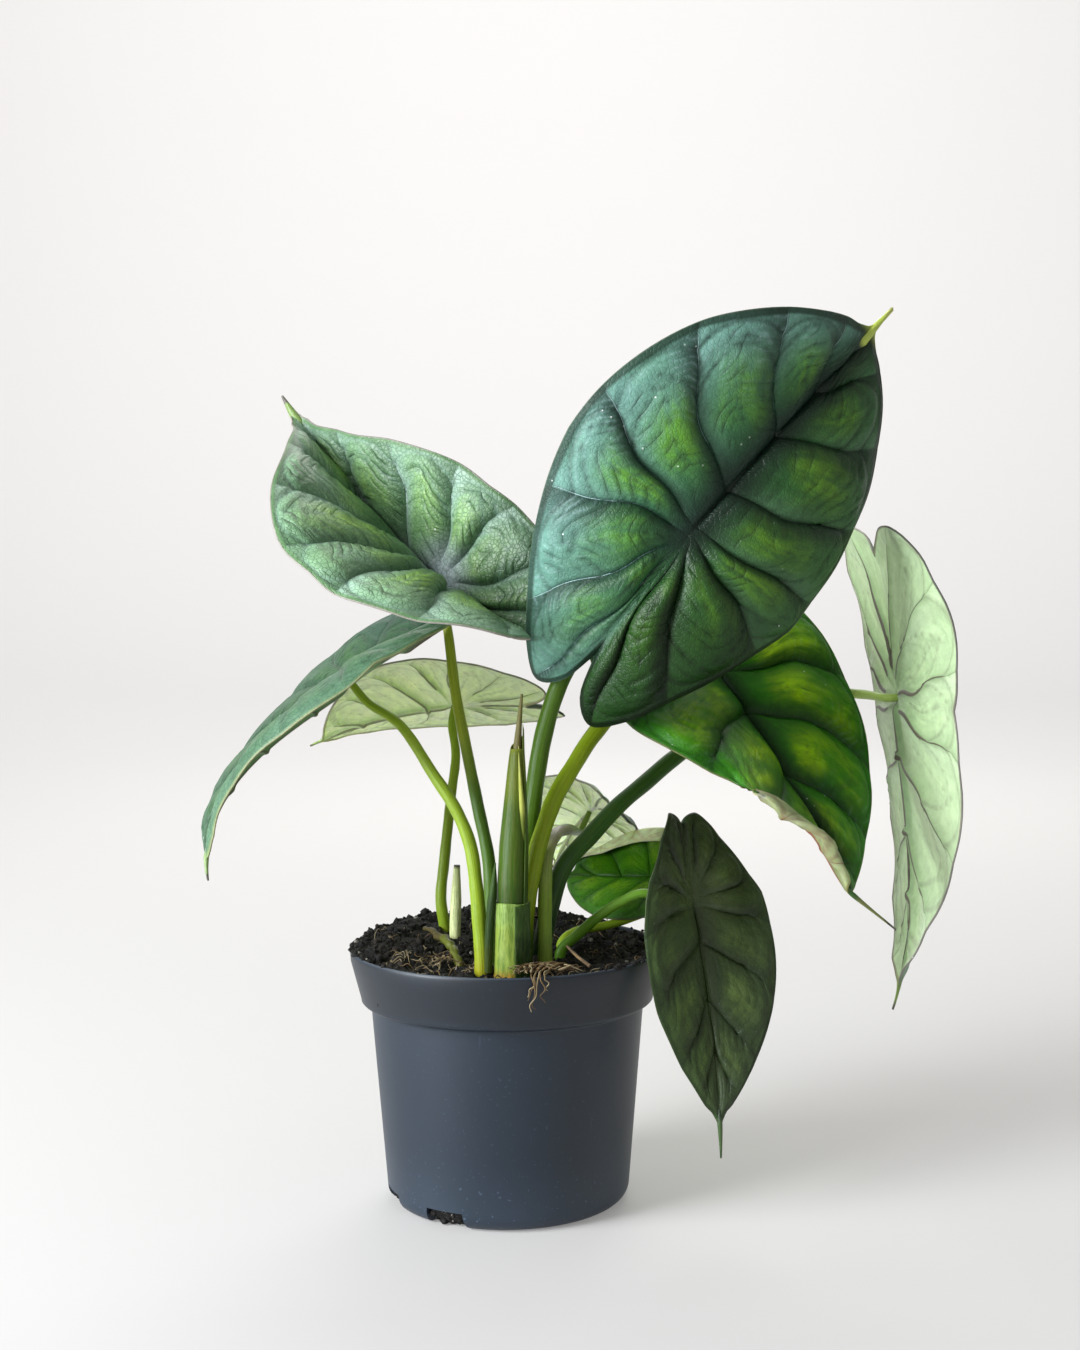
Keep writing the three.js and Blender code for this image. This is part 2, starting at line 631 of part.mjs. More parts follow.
const group = new THREE.Group();
const add = (name, geometry, material) => {
  const mesh = new THREE.Mesh(geometry, material);
  mesh.name = name;
  group.add(mesh);
};
const holes = [];
const addStem = (name, path, radiusAt, steps, colour) => {
  add(name, tubeGeometry(path, radiusAt, steps, STALK_SIDES), finish(colour, 0.5));
  const hole = tubeGeometry(path, radiusAt, steps, STALK_SIDES, HOLE_CLEARANCE);
  holes.push(new Manifold(closedMesh(hole)));
};
for (const [name, stalk] of Object.entries(STALKS)) {
  const path = stalkPath(name);
  addStem(`stalk_${name}`, path, threeRadii(stalk.radii), 15, stalk.colour);
}
const shootRadius = (t, centre) => {
  if (centre.z < SHEATH_TOP) return SHEATH_RADIUS;
  return linear([125, 141, 155, 168, 182, 195], [SHOOT_RADIUS, 5.2, 3.6, 2.3, 1.3, 0.5], centre.z);
};
addStem("main_shoot", SHOOT_PATH, shootRadius, 22, 0x5f6f2a);
addStem("cut_stub", STUB_PATH, threeRadii(STUB_RADII), 6, 0xb9bf8a);
addStem("old_stalk", OLD_STALK_PATH, threeRadii(OLD_STALK_RADII), 8, 0x5a5a22);
for (const [name, blade] of Object.entries(BLADES)) {
  add(`blade_${name}`, bladeGeometry(blade), finish(blade.colour, 0.42));
}
add("soil", soilGeometry(holes), finish(0x2a211c, 0.95));
add("pot", potGeometry(), finish(0x39444d, 0.5));

export default group;
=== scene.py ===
import math
import random

import bmesh
import bpy
import numpy as np
from mathutils import Matrix, Vector, noise


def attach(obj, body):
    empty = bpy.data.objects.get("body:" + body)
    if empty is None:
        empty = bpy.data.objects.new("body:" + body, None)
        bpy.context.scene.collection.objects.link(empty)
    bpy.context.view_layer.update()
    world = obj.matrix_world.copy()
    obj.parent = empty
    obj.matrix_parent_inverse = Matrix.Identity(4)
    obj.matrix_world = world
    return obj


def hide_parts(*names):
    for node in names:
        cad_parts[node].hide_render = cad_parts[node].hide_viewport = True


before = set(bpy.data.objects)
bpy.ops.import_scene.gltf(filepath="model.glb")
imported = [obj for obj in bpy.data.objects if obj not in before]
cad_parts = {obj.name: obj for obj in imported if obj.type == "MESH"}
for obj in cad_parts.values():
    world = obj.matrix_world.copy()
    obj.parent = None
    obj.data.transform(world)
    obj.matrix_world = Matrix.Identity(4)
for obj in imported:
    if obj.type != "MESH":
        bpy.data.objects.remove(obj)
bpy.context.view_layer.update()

mm = 0.001
print("frame loaded")


# a smooth step from 0 at low to 1 at high
def ramp(low, high, value):
    t = np.clip((value - low) / (high - low), 0, 1)
    return t * t * (3 - 2 * t)


def addObject(name, data):
    thing = bpy.data.objects.new(name, data)
    bpy.context.collection.objects.link(thing)
    return thing


def meshPiece(name, points, faces, materials, slots=None, values=None):
    mesh = bpy.data.meshes.new(name)
    mesh.from_pydata([tuple(p) for p in np.asarray(points) * mm], [], faces)
    for material in materials:
        mesh.materials.append(material)
    if slots is not None:
        mesh.polygons.foreach_set("material_index", np.asarray(slots, dtype=np.int32))
    for key, numbers in (values or {}).items():
        layer = mesh.attributes.new(key, "FLOAT", "POINT")
        layer.data.foreach_set("value", np.asarray(numbers, dtype=np.float32))
    mesh.shade_smooth()
    mesh.update()
    return addObject(name, mesh)


def finishPiece(piece, slotName, *nodes):
    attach(piece, "root")
    if nodes:
        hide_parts(*nodes)


# turns a profile of (radius, height) points about the upright axis
def turnedMesh(profile, sides):
    points, faces, rings = [], [], []
    angles = [math.tau * j / sides for j in range(sides)]
    for r, z in profile:
        if r < 1e-6:
            points.append((0, 0, z))
            rings.append([len(points) - 1] * sides)
            continue
        rings.append([len(points) + j for j in range(sides)])
        points += [(r * math.cos(a), r * math.sin(a), z) for a in angles]
    for lower, upper in zip(rings, rings[1:]):
        for j in range(sides):
            k = (j + 1) % sides
            face = []
            for v in (lower[j], lower[k], upper[k], upper[j]):
                if v not in face:
                    face.append(v)
            faces.append(tuple(face))
    return points, faces


# sets an input to a plain value, or links another node's output to it
def feed(socket, value):
    if hasattr(value, "node"):
        socket.id_data.links.new(value, socket)
    else:
        socket.default_value = value


# adds a node with its settings, and with its inputs by label or by place
def addNode(tree, kind, inputs=None, **settings):
    node = tree.nodes.new(kind)
    for label, value in settings.items():
        setattr(node, label, value)
    for label, value in (inputs or {}).items():
        feed(node.inputs[label], value)
    return node


# the node tree that the first linked value belongs to
def treeOf(*values):
    return next(value.id_data for value in values if hasattr(value, "node"))


# a math node whose inputs are sockets or plain numbers
def calc(operation, *values, clamp=False):
    inputs = dict(enumerate(values))
    return addNode(treeOf(*values), "ShaderNodeMath", inputs, operation=operation, use_clamp=clamp).outputs[0]


def times(first, second, clamp=False):
    return calc("MULTIPLY", first, second, clamp=clamp)


# the first value times the second, plus the third
def timesPlus(first, second, third):
    return calc("MULTIPLY_ADD", first, second, third)


# what a value lacks of 1
def rest(value):
    return calc("SUBTRACT", 1.0, value)


# the same smooth step as a shader value
def stepUp(value, low, high):
    inputs = dict(enumerate((value, low, high, 0.0, 1.0)))
    return addNode(treeOf(value, low, high), "ShaderNodeMapRange", inputs,
                   interpolation_type="SMOOTHSTEP").outputs[0]


# 1 up to low, then a smooth fall to 0 at high
def stepDown(value, low, high):
    return rest(stepUp(value, low, high))


def mixColour(factor, first, second, mode="MIX"):
    inputs = {0: factor, 6: first, 7: second}    # the colour inputs of the mix node
    return addNode(treeOf(factor, first, second), "ShaderNodeMix", inputs, data_type="RGBA",
                   blend_type=mode).outputs[2]


# one value on the left half of a blade and another on the right half
def byHalf(half, left, right):
    return timesPlus(half, calc("SUBTRACT", right, left), left)


# 1 along narrow lines that follow each other every half turn of the phase
def creaseLine(phase, often, sharp):
    wave = calc("ABSOLUTE", calc("SINE", times(phase, math.pi * often)))
    return rest(calc("POWER", wave, sharp))


# 1 at no distance, falling off over the given width
def fadeOut(gap, width):
    return calc("EXPONENT", times(calc("DIVIDE", gap, width), -1.0))


# the same number on all three colour channels
def grey(value):
    return addNode(treeOf(value), "ShaderNodeCombineColor", {0: value, 1: value, 2: value}).outputs[0]


# a colour times a shade between black and white
def shadeColour(colour, shade):
    return mixColour(1.0, colour, grey(shade), "MULTIPLY")


def readValue(tree, name):
    return addNode(tree, "ShaderNodeAttribute", attribute_name=name).outputs["Fac"]


# where a point is on its object, in metres
def objectPlace(tree):
    return addNode(tree, "ShaderNodeTexCoord").outputs["Object"]


def noiseValue(tree, scale, detail=3.0, vector=None, roughness=0.5):
    inputs = {"Scale": scale, "Detail": detail, "Roughness": roughness, "Vector": vector or objectPlace(tree)}
    return addNode(tree, "ShaderNodeTexNoise", inputs).outputs["Fac"]


# starts a node group with named inputs and outputs
def newGroup(name, kind, inputs, outputs):
    tree = bpy.data.node_groups.new(name, kind)
    for way, sockets in (("INPUT", inputs), ("OUTPUT", outputs)):
        for label, socketKind in sockets.items():
            tree.interface.new_socket(label, in_out=way, socket_type=f"NodeSocket{socketKind}")
    return tree, addNode(tree, "NodeGroupInput").outputs, addNode(tree, "NodeGroupOutput").inputs


# starts a shader group that gives a colour, a roughness and a height
def newSkin(name, colours, numbers):
    inputs = {label: "Color" for label in colours} | {label: "Float" for label in numbers}
    outputs = {"Color": "Color", "Roughness": "Float", "Height": "Float"}
    return newGroup(name, "ShaderNodeTree", inputs, outputs)


# skins name their colours by 0 to 255 values as seen on a screen, except for tints, which multiply
def screenColour(red, green, blue):
    def linear(v):
        v /= 255
        return v / 12.92 if v <= 0.04045 else ((v + 0.055) / 1.055) ** 2.4
    return (linear(red), linear(green), linear(blue))


# a Principled material whose colour, roughness and bump come from a skin group
def groupMaterial(name, group, settings, plain=None, bump=0.5, bumpDistance=0.4 * mm):
    material = bpy.data.materials.new(name)
    material.use_nodes = True
    tree = material.node_tree
    skin = addNode(tree, "ShaderNodeGroup", node_tree=group)
    for label, value in settings.items():
        if isinstance(value, tuple):
            value = (*(value if label.endswith("Tint") else screenColour(*value)), 1.0)
        skin.inputs[label].default_value = value
    relief = addNode(tree, "ShaderNodeBump", {
        "Strength": bump, "Distance": bumpDistance, "Height": skin.outputs["Height"]})
    shading = {"Base Color": skin.outputs["Color"], "Roughness": skin.outputs["Roughness"],
               "Normal": relief.outputs["Normal"]} | (plain or {})
    for label, value in shading.items():
        feed(tree.nodes["Principled BSDF"].inputs[label], value)
    return material


# places in metres, turns in degrees
cameraView = {
    "place": (0.0, -0.700, 0.2355), "pitch": 2.88, "yaw": 1.09, "roll": -0.36, "lens": 48.995, "sensor": 36.0,
    "farEnd": 50.0,
}


def makeCamera():
    pitch, yaw, roll = (math.radians(cameraView[k]) for k in ("pitch", "yaw", "roll"))
    right = Vector((math.cos(yaw), -math.sin(yaw), 0))
    ahead = Vector((math.sin(yaw), math.cos(yaw), 0))
    up = ahead * math.sin(pitch) + Vector((0, 0, 1)) * math.cos(pitch)
    forward = ahead * math.cos(pitch) - Vector((0, 0, 1)) * math.sin(pitch)
    across = right * math.cos(roll) + up * math.sin(roll)
    upright = up * math.cos(roll) - right * math.sin(roll)
    data = bpy.data.cameras.new("camera")
    data.lens = cameraView["lens"]
    data.sensor_width = cameraView["sensor"]
    data.clip_end = cameraView["farEnd"]
    camera = addObject("camera", data)
    turn = Matrix((across, upright, -forward)).transposed()
    camera.matrix_world = Matrix.Translation(cameraView["place"]) @ turn.to_4x4()
    bpy.context.scene.camera = camera


# a floor that curves up into a wall, in metres
backdrop = {
    "radius": 4.0, "flat": 1.3, "wall": 1.9, "bendRise": 0.8, "sides": 64, "colour": (0.45, 0.443, 0.438),
    "roughness": 0.85, "glow": 0.2, "glowColour": (1.0, 0.985, 0.975),
}


def makeFloor():
    flat, bend = backdrop["flat"], backdrop["radius"] - backdrop["flat"]
    profile = [(flat * i / 6, 0.0) for i in range(7)]
    for i in range(1, 13):
        a = math.pi / 2 * i / 12
        profile.append((flat + bend * math.sin(a), bend * (1 - math.cos(a)) * backdrop["bendRise"]))
    profile.append((backdrop["radius"], backdrop["wall"]))
    points, faces = turnedMesh(profile[::-1], backdrop["sides"])
    material = bpy.data.materials.new("paleFloor")
    material.use_nodes = True
    look = {"Base Color": (*backdrop["colour"], 1), "Roughness": backdrop["roughness"],
            "Emission Color": (*backdrop["glowColour"], 1), "Emission Strength": backdrop["glow"]}
    for label, value in look.items():
        material.node_tree.nodes["Principled BSDF"].inputs[label].default_value = value
    floor = meshPiece("studioFloor", np.array(points) / mm, faces, [material])


lamps = {
    "window": {"place": (-1.2, -0.62, 0.78), "aim": (0.03, 0, 0.16), "size": 0.9, "power": 34.0,
               "colour": (0.97, 0.99, 1.0)},
    "front": {"place": (0.3, -1.5, 1.2), "aim": (0.03, 0, 0.16), "size": 0.9, "power": 0.8,
              "colour": (1.0, 0.99, 0.97)},
    "back": {"place": (0.2, 1.3, 1.0), "aim": (0.03, 0, 0.16), "size": 1.0, "power": 8.0,
             "colour": (1.0, 1.0, 0.95)},
    "side": {"place": (-1.1, -0.66, 0.27), "aim": (0, 0, 0.05), "size": 0.4, "power": 12.0,
             "colour": (0.82, 0.91, 1.0)},
    "wash": {"place": (0, 1.9, 2.6), "aim": (0, 4, 0.7), "size": 2.2, "power": 72.0,
             "colour": (1.0, 0.99, 0.985)},
}
sky = {"colour": (1.0, 0.995, 0.985), "strength": 0.4}


def makeLamps():
    for name, lamp in lamps.items():
        data = bpy.data.lights.new(name, "AREA")
        data.shape = "DISK"
        data.size = lamp["size"]
        data.energy = lamp["power"]
        data.color = lamp["colour"]
        light = addObject(name, data)
        light.location = lamp["place"]
        light.rotation_euler = (Vector(lamp["aim"]) - light.location).to_track_quat("-Z", "Y").to_euler()
    world = bpy.data.worlds.new("studio")
    bpy.context.scene.world = world
    world.use_nodes = True
    back = world.node_tree.nodes["Background"]
    back.inputs["Color"].default_value = (*sky["colour"], 1)
    back.inputs["Strength"].default_value = sky["strength"]
    bpy.context.scene.view_settings.view_transform = "Standard"


makeCamera()
makeFloor()
makeLamps()
print("camera, floor and light")


def makeLeafSkin():
    tree, given, out = newSkin(
        "leafSkin",
        ("Shade", "Blade", "Glow", "Vein", "Gleam", "Rim", "Edge", "Bloom Sheen", "Tip", "Tip End", "Left Lighting Tint",
         "Right Lighting Tint", "Lobe Lighting Tint"),
        ("Glow Amount", "Glow Start", "Glow End", "Right Glow", "Bloom Sheen Amount", "Right Bloom Sheen", "Mid Shade",
         "Vein Shade", "Vein Width", "Gleam Left", "Gleam Right", "Flank Shade", "Flank Sheen", "Rim Width",
         "Fork Amount", "Cross Amount", "Net Amount", "Speck Amount", "Joint Pale Light", "Gloss"))
    veinGap, midGap, rimGap, forkGap, jointGap = (
        readValue(tree, name) for name in ("veinGap", "midGap", "rimGap", "forkGap", "jointGap"))
    puff, phase, reach, flank, half, row, lobe, tip = (
        readValue(tree, name)
        for name in ("puff", "crossPhase", "reach", "flank", "half", "row", "lobe", "tipShade"))
    patch, fine, cloud, breaks, gaps = (
        noiseValue(tree, scale, detail)
        for scale, detail in ((42.0, 2.0), (260.0, 3.0), (19.0, 2.0), (95.0, 1.0), (150.0, 1.0)))
    run = {0: times(row, 3.2), 1: times(reach, 1.7), 2: times(half, 9.0)}
    streak = noiseValue(tree, 2.0, 4.0, addNode(tree, "ShaderNodeCombineXYZ", run).outputs[0], 0.6)
    # dark zone along the midrib and round the joint, and narrow dark bands along the side veins
    nearMid = stepDown(timesPlus(patch, -5.0, midGap), -2.5, given["Mid Shade"])
    near = calc("MAXIMUM", nearMid, times(fadeOut(veinGap, given["Vein Shade"]), 0.8))
    # waxy bloom with painted sheen, in large soft patches, more towards the margin; its amount set per half
    # paints the sheen of the lit half
    bloomSheen = timesPlus(stepUp(cloud, 0.3, 0.66), 0.5, 0.5)
    bloomSheen = times(bloomSheen, timesPlus(stepUp(reach, 0.3, 0.85), 0.9, 0.1))
    bloomSheen = times(bloomSheen, byHalf(half, given["Bloom Sheen Amount"], given["Right Bloom Sheen"]))
    colour = mixColour(bloomSheen, given["Blade"], given["Bloom Sheen"])
    # a lighter green on the swellings between the veins, with painted light shining through the blade
    swell = times(calc("POWER", puff, 1.2), stepUp(patch, 0.28, 0.6))
    swell = times(swell, timesPlus(stepUp(streak, 0.36, 0.6), 0.75, 0.4))
    onset = stepUp(reach, calc("SUBTRACT", given["Glow Start"], 0.16), given["Glow Start"])
    fading = stepDown(reach, given["Glow End"], calc("ADD", given["Glow End"], 0.35))
    swell = times(swell, times(onset, fading))
    glow = times(swell, byHalf(half, given["Glow Amount"], given["Right Glow"]), clamp=True)
    colour = mixColour(glow, colour, given["Glow"])
    # painted shade on one flank of each swelling, which is dark and wrinkled, and a painted sheen on the
    # other flank, which is pale
    colour = mixColour(times(stepUp(flank, 0.05, 1.0), given["Flank Shade"]), colour, given["Shade"])
    sheenFlank = times(stepUp(times(flank, -1.0), 0.3, 1.0), given["Flank Sheen"])
    colour = mixColour(times(sheenFlank, stepUp(cloud, 0.25, 0.6)), colour, given["Bloom Sheen"])
    colour = mixColour(near, colour, given["Shade"])
    # pale veins round the joint and along the midrib, with painted light that lifts the shaded valley of the
    # midrib
    jointPaleLight = calc("MAXIMUM", stepDown(jointGap, 2.0, 24.0), times(fadeOut(midGap, 3.0), 0.9))
    jointPaleLight = times(times(jointPaleLight, given["Joint Pale Light"]), stepUp(patch, 0.25, 0.55))
    colour = mixColour(jointPaleLight, colour, given["Gleam"])
    # cross wrinkles, broken up by a slow noise, with painted shade in their lines; the same lines make the
    # bump
    crease = times(creaseLine(timesPlus(patch, 1.3, phase), 1.0, 0.6), stepUp(breaks, 0.36, 0.6))
    second = times(creaseLine(timesPlus(breaks, 1.8, phase), 2.2, 0.45), stepUp(gaps, 0.44, 0.62))
    second = times(second, timesPlus(stepUp(flank, 0.0, 0.9), 0.75, 0.25))
    crease = times(calc("MAXIMUM", crease, times(second, 0.5)), given["Cross Amount"])
    crease = times(crease, stepUp(puff, 0.04, 0.3))
    colour = mixColour(times(crease, 0.55), colour, given["Shade"])
    pale = creaseLine(timesPlus(breaks, 2.2, phase), 1.6, 0.5)
    pale = times(pale, times(bloomSheen, stepUp(streak, 0.4, 0.62)))
    colour = mixColour(times(pale, 0.4), colour, given["Gleam"])
    # the smallest net
    place = objectPlace(tree)
    cell = addNode(tree, "ShaderNodeTexVoronoi", {"Scale": 560.0, "Vector": place},
                   feature="DISTANCE_TO_EDGE")
    net = stepDown(cell.outputs["Distance"], 0.0, 0.16)
    colour = mixColour(times(net, given["Net Amount"]), colour, given["Shade"])
    # the veins and their forks, with a painted highlight along the side veins of the lit half
    fork = stepDown(forkGap, 0.0, times(given["Vein Width"], 3.4))
    colour = mixColour(times(fork, given["Fork Amount"]), colour, given["Vein"])
    width = times(given["Vein Width"], timesPlus(reach, -0.55, 1.0))
    gap = calc("MINIMUM", veinGap, times(midGap, 0.8))
    colour = mixColour(stepDown(gap, times(width, 0.3), width), colour, given["Vein"])
    veinHighlight = times(stepDown(veinGap, times(width, 0.4), width),
                  byHalf(half, given["Gleam Left"], given["Gleam Right"]))
    veinHighlight = times(veinHighlight, times(stepUp(reach, 0.12, 0.35), stepUp(patch, 0.34, 0.56)))
    colour = mixColour(veinHighlight, colour, given["Gleam"])
    # margin, its very edge and the drip tip
    edge = stepDown(rimGap, times(given["Rim Width"], 0.6), given["Rim Width"])
    colour = mixColour(times(edge, 0.85), colour, given["Rim"])
    colour = mixColour(stepDown(rimGap, 0.1, 0.45), colour, given["Edge"])
    # painted light and shade: each half multiplied by its own tint, and the right half's lobe by its own
    halfLighting = mixColour(half, given["Left Lighting Tint"], mixColour(lobe, given["Right Lighting Tint"], given["Lobe Lighting Tint"]))
    colour = mixColour(1.0, colour, halfLighting, "MULTIPLY")
    colour = mixColour(stepUp(tip, 0.0, 0.5), colour, given["Tip"])
    colour = mixColour(stepUp(tip, 0.72, 0.95), colour, given["Tip End"])
    mottle = timesPlus(fine, 0.4, timesPlus(patch, 0.24, 0.42))
    colour = shadeColour(colour, calc("ADD", mottle, times(streak, 0.52)))
    # a few specks of dust
    dust = addNode(tree, "ShaderNodeTexVoronoi", {"Scale": 150.0, "Vector": place})
    speck = stepDown(dust.outputs["Distance"], 0.03, 0.07)
    speck = times(speck, times(stepUp(cloud, 0.5, 0.6), given["Speck Amount"]))
    feed(out["Color"], mixColour(speck, colour, (0.7, 0.74, 0.7, 1)))
    feed(out["Roughness"], timesPlus(bloomSheen, 0.12, timesPlus(patch, 0.16, given["Gloss"])))
    feed(out["Height"], timesPlus(crease, -1.8, timesPlus(net, -0.25, times(fine, 0.6))))
    return tree


leafSkin = makeLeafSkin()

darkUpper = {
    "Shade": (17, 37, 30), "Blade": (46, 98, 52), "Glow": (90, 142, 42), "Vein": (24, 38, 32),
    "Gleam": (170, 196, 204), "Rim": (26, 48, 36), "Edge": (70, 88, 74), "Bloom Sheen": (112, 154, 146),
    "Tip": (182, 200, 84), "Tip End": (190, 196, 110), "Lobe Lighting Tint": (0.24, 0.3, 0.1), "Joint Pale Light": 0.0,
    "Left Lighting Tint": (0.92, 0.95, 0.9), "Right Lighting Tint": (0.88, 0.78, 0.6), "Glow Amount": 1.0, "Glow Start": 0.24,
    "Glow End": 0.52, "Right Glow": 1.0, "Bloom Sheen Amount": 0.85, "Right Bloom Sheen": 0.12, "Mid Shade": 21.0,
    "Vein Shade": 1.1, "Vein Width": 0.5, "Gleam Left": 1.0, "Gleam Right": 0.0, "Flank Shade": 0.75,
    "Flank Sheen": 0.3, "Rim Width": 3.2, "Fork Amount": 0.45, "Cross Amount": 0.7, "Net Amount": 0.1,
    "Speck Amount": 0.8, "Gloss": 0.32,
}
greenUpper = darkUpper | {
    "Shade": (46, 78, 52), "Blade": (92, 132, 86), "Glow": (128, 168, 60), "Vein": (96, 124, 118),
    "Gleam": (176, 192, 202), "Rim": (78, 112, 74), "Edge": (116, 116, 110), "Bloom Sheen": (150, 178, 172),
    "Tip": (116, 142, 74), "Tip End": (88, 84, 74), "Right Lighting Tint": (1.08, 1.04, 0.98),
    "Lobe Lighting Tint": (0.42, 0.45, 0.38), "Joint Pale Light": 1.0, "Left Lighting Tint": (1.44, 1.4, 1.3), "Glow Amount": 0.9,
    "Glow Start": 0.4, "Glow End": 0.7, "Right Glow": 0.6, "Bloom Sheen Amount": 0.45, "Right Bloom Sheen": 0.35,
    "Mid Shade": 4.0, "Vein Shade": 1.2, "Gleam Left": 0.6, "Gleam Right": 0.6, "Flank Shade": 0.6,
    "Flank Sheen": 0.6, "Rim Width": 1.6, "Fork Amount": 0.35, "Net Amount": 0.42, "Cross Amount": 1.0,
}
hangingUpper = greenUpper | {
    "Shade": (30, 62, 48), "Blade": (60, 102, 78), "Glow": (82, 128, 72), "Bloom Sheen": (106, 140, 134),
    "Rim": (104, 128, 104), "Edge": (150, 152, 130), "Tip": (120, 146, 84), "Flank Shade": 0.3,
    "Flank Sheen": 0.25, "Bloom Sheen Amount": 0.55, "Right Bloom Sheen": 0.5, "Joint Pale Light": 0.2,
    "Left Lighting Tint": (0.8, 0.84, 0.6), "Right Lighting Tint": (0.66, 0.7, 0.5), "Gleam": (150, 176, 160),
    "Rim Width": 1.0,
}
brightUpper = darkUpper | {
    "Shade": (8, 44, 4), "Blade": (42, 112, 3), "Glow": (150, 182, 0), "Vein": (10, 38, 8),
    "Rim": (48, 92, 20), "Edge": (96, 100, 60), "Bloom Sheen": (46, 112, 26), "Tip": (120, 126, 58),
    "Tip End": (64, 60, 48), "Right Lighting Tint": (0.85, 0.88, 0.8), "Lobe Lighting Tint": (0.85, 0.88, 0.8),
    "Glow Start": 0.28, "Glow End": 0.72, "Bloom Sheen Amount": 0.3, "Right Bloom Sheen": 0.3, "Mid Shade": 10.0,
    "Vein Shade": 3.2, "Gleam Left": 0.0, "Flank Shade": 0.55, "Flank Sheen": 0.0, "Rim Width": 0.8,
    "Fork Amount": 0.35, "Cross Amount": 0.35, "Net Amount": 0.08, "Speck Amount": 0.7,
}
freshUpper = brightUpper | {
    "Shade": (34, 78, 6), "Blade": (66, 122, 8), "Glow": (128, 164, 8), "Vein": (30, 70, 8),
    "Mid Shade": 4.0, "Vein Shade": 1.8, "Flank Shade": 0.35,
}
oldUpper = darkUpper | {
    "Shade": (29, 41, 23), "Blade": (52, 68, 40), "Glow": (92, 108, 66), "Vein": (38, 52, 31),
    "Rim": (34, 50, 28), "Edge": (60, 72, 48), "Bloom Sheen": (84, 96, 78), "Tip": (58, 84, 36),
    "Tip End": (48, 70, 34), "Left Lighting Tint": (0.68, 0.76, 0.5), "Right Lighting Tint": (0.66, 0.8, 0.38),
    "Lobe Lighting Tint": (0.6, 0.6, 0.54), "Glow Start": 0.3, "Glow End": 0.66, "Bloom Sheen Amount": 0.3,
    "Right Bloom Sheen": 0.3, "Mid Shade": 9.0, "Vein Shade": 3.4, "Vein Width": 0.28, "Joint Pale Light": 0.4,
    "Gleam": (124, 136, 112), "Gleam Left": 0.0, "Flank Shade": 0.4, "Flank Sheen": 0.2, "Rim Width": 1.2,
    "Fork Amount": 0.1, "Cross Amount": 0.4,
}
paleUnder = {
    "Shade": (124, 150, 104), "Blade": (164, 188, 140), "Glow": (184, 206, 156), "Vein": (84, 78, 66),
    "Gleam": (150, 168, 130), "Rim": (134, 140, 112), "Edge": (104, 90, 80), "Bloom Sheen": (192, 206, 178),
    "Tip": (150, 164, 96), "Tip End": (96, 90, 70), "Left Lighting Tint": (1.0, 1.0, 1.0),
    "Right Lighting Tint": (1.0, 1.0, 1.0), "Lobe Lighting Tint": (1.0, 1.0, 1.0), "Joint Pale Light": 0.0, "Glow Amount": 0.7,
    "Glow Start": 0.2, "Glow End": 0.8, "Right Glow": 0.7, "Bloom Sheen Amount": 0.4, "Right Bloom Sheen": 0.4,
    "Mid Shade": 3.0, "Vein Shade": 1.4, "Vein Width": 0.55, "Gleam Left": 0.0, "Gleam Right": 0.0,
    "Flank Shade": 0.25, "Flank Sheen": 0.3, "Rim Width": 0.9, "Fork Amount": 0.35, "Cross Amount": 0.35,
    "Net Amount": 0.1, "Speck Amount": 0.0, "Gloss": 0.42,
}
# painted light: a lighter copy of the pale underside, for thin undersides that light shines through
litUnder = paleUnder | {
    "Shade": (196, 212, 160), "Blade": (224, 234, 196), "Glow": (222, 234, 186), "Vein": (136, 144, 106),
    "Bloom Sheen": (220, 228, 196), "Rim": (176, 180, 136), "Edge": (150, 140, 116), "Vein Width": 0.34,
    "Vein Shade": 1.0, "Flank Shade": 0.15,
}
foldUnder = paleUnder | {
    "Shade": (108, 116, 78), "Blade": (150, 160, 116), "Glow": (172, 178, 134), "Vein": (120, 70, 56),
    "Bloom Sheen": (170, 170, 140), "Rim": (116, 84, 64), "Edge": (96, 62, 52), "Cross Amount": 0.6,
}
litCreamUnder = litUnder | {
    "Vein": (160, 104, 78), "Shade": (160, 176, 112), "Blade": (196, 208, 150),
}
greenUnder = paleUnder | {
    "Shade": (96, 132, 84), "Blade": (134, 166, 116), "Glow": (156, 186, 124), "Vein": (84, 96, 66),
    "Rim": (104, 120, 88),
}


# half outline from the notch round to the drip tip, and where each side vein leaves the midrib
outlineX = np.array([0, 0.055, 0.165, 0.27, 0.35, 0.43, 0.5, 0.54, 0.555,
                     0.54, 0.495, 0.425, 0.33, 0.225, 0.13, 0.055, 0.012, 0.006])
outlineY = np.array([-0.56, -0.7, -0.765, -0.665, -0.53, -0.36, -0.17, 0, 0.16,
                     0.33, 0.49, 0.62, 0.745, 0.85, 0.925, 0.965, 1, 1.08])
veinRows = [0, 1, 2, 3, 4, 5, 6, 7, 8, 8.5]
veinStart = [0, 0, 0, 0, 0.03, 0.2, 0.46, 0.68, 0.93, 1.08]
veinOut = [0.5, 0.25, 0.35, 0.55, 0.62, 0.62, 0.6, 0.55, 0.5, 0.5]
veinUp = [0.5, 0.6, 0.45, 0.35, 0.3, 0.3, 0.35, 0.4, 0.5, 0.5]
veinStrength = [0.0, 0.95, 0.75, 0.85, 0.85, 0.95, 0.9, 0.75, 0.0, 0.0]
bladeThickness = 0.7
marginRound = 0.22

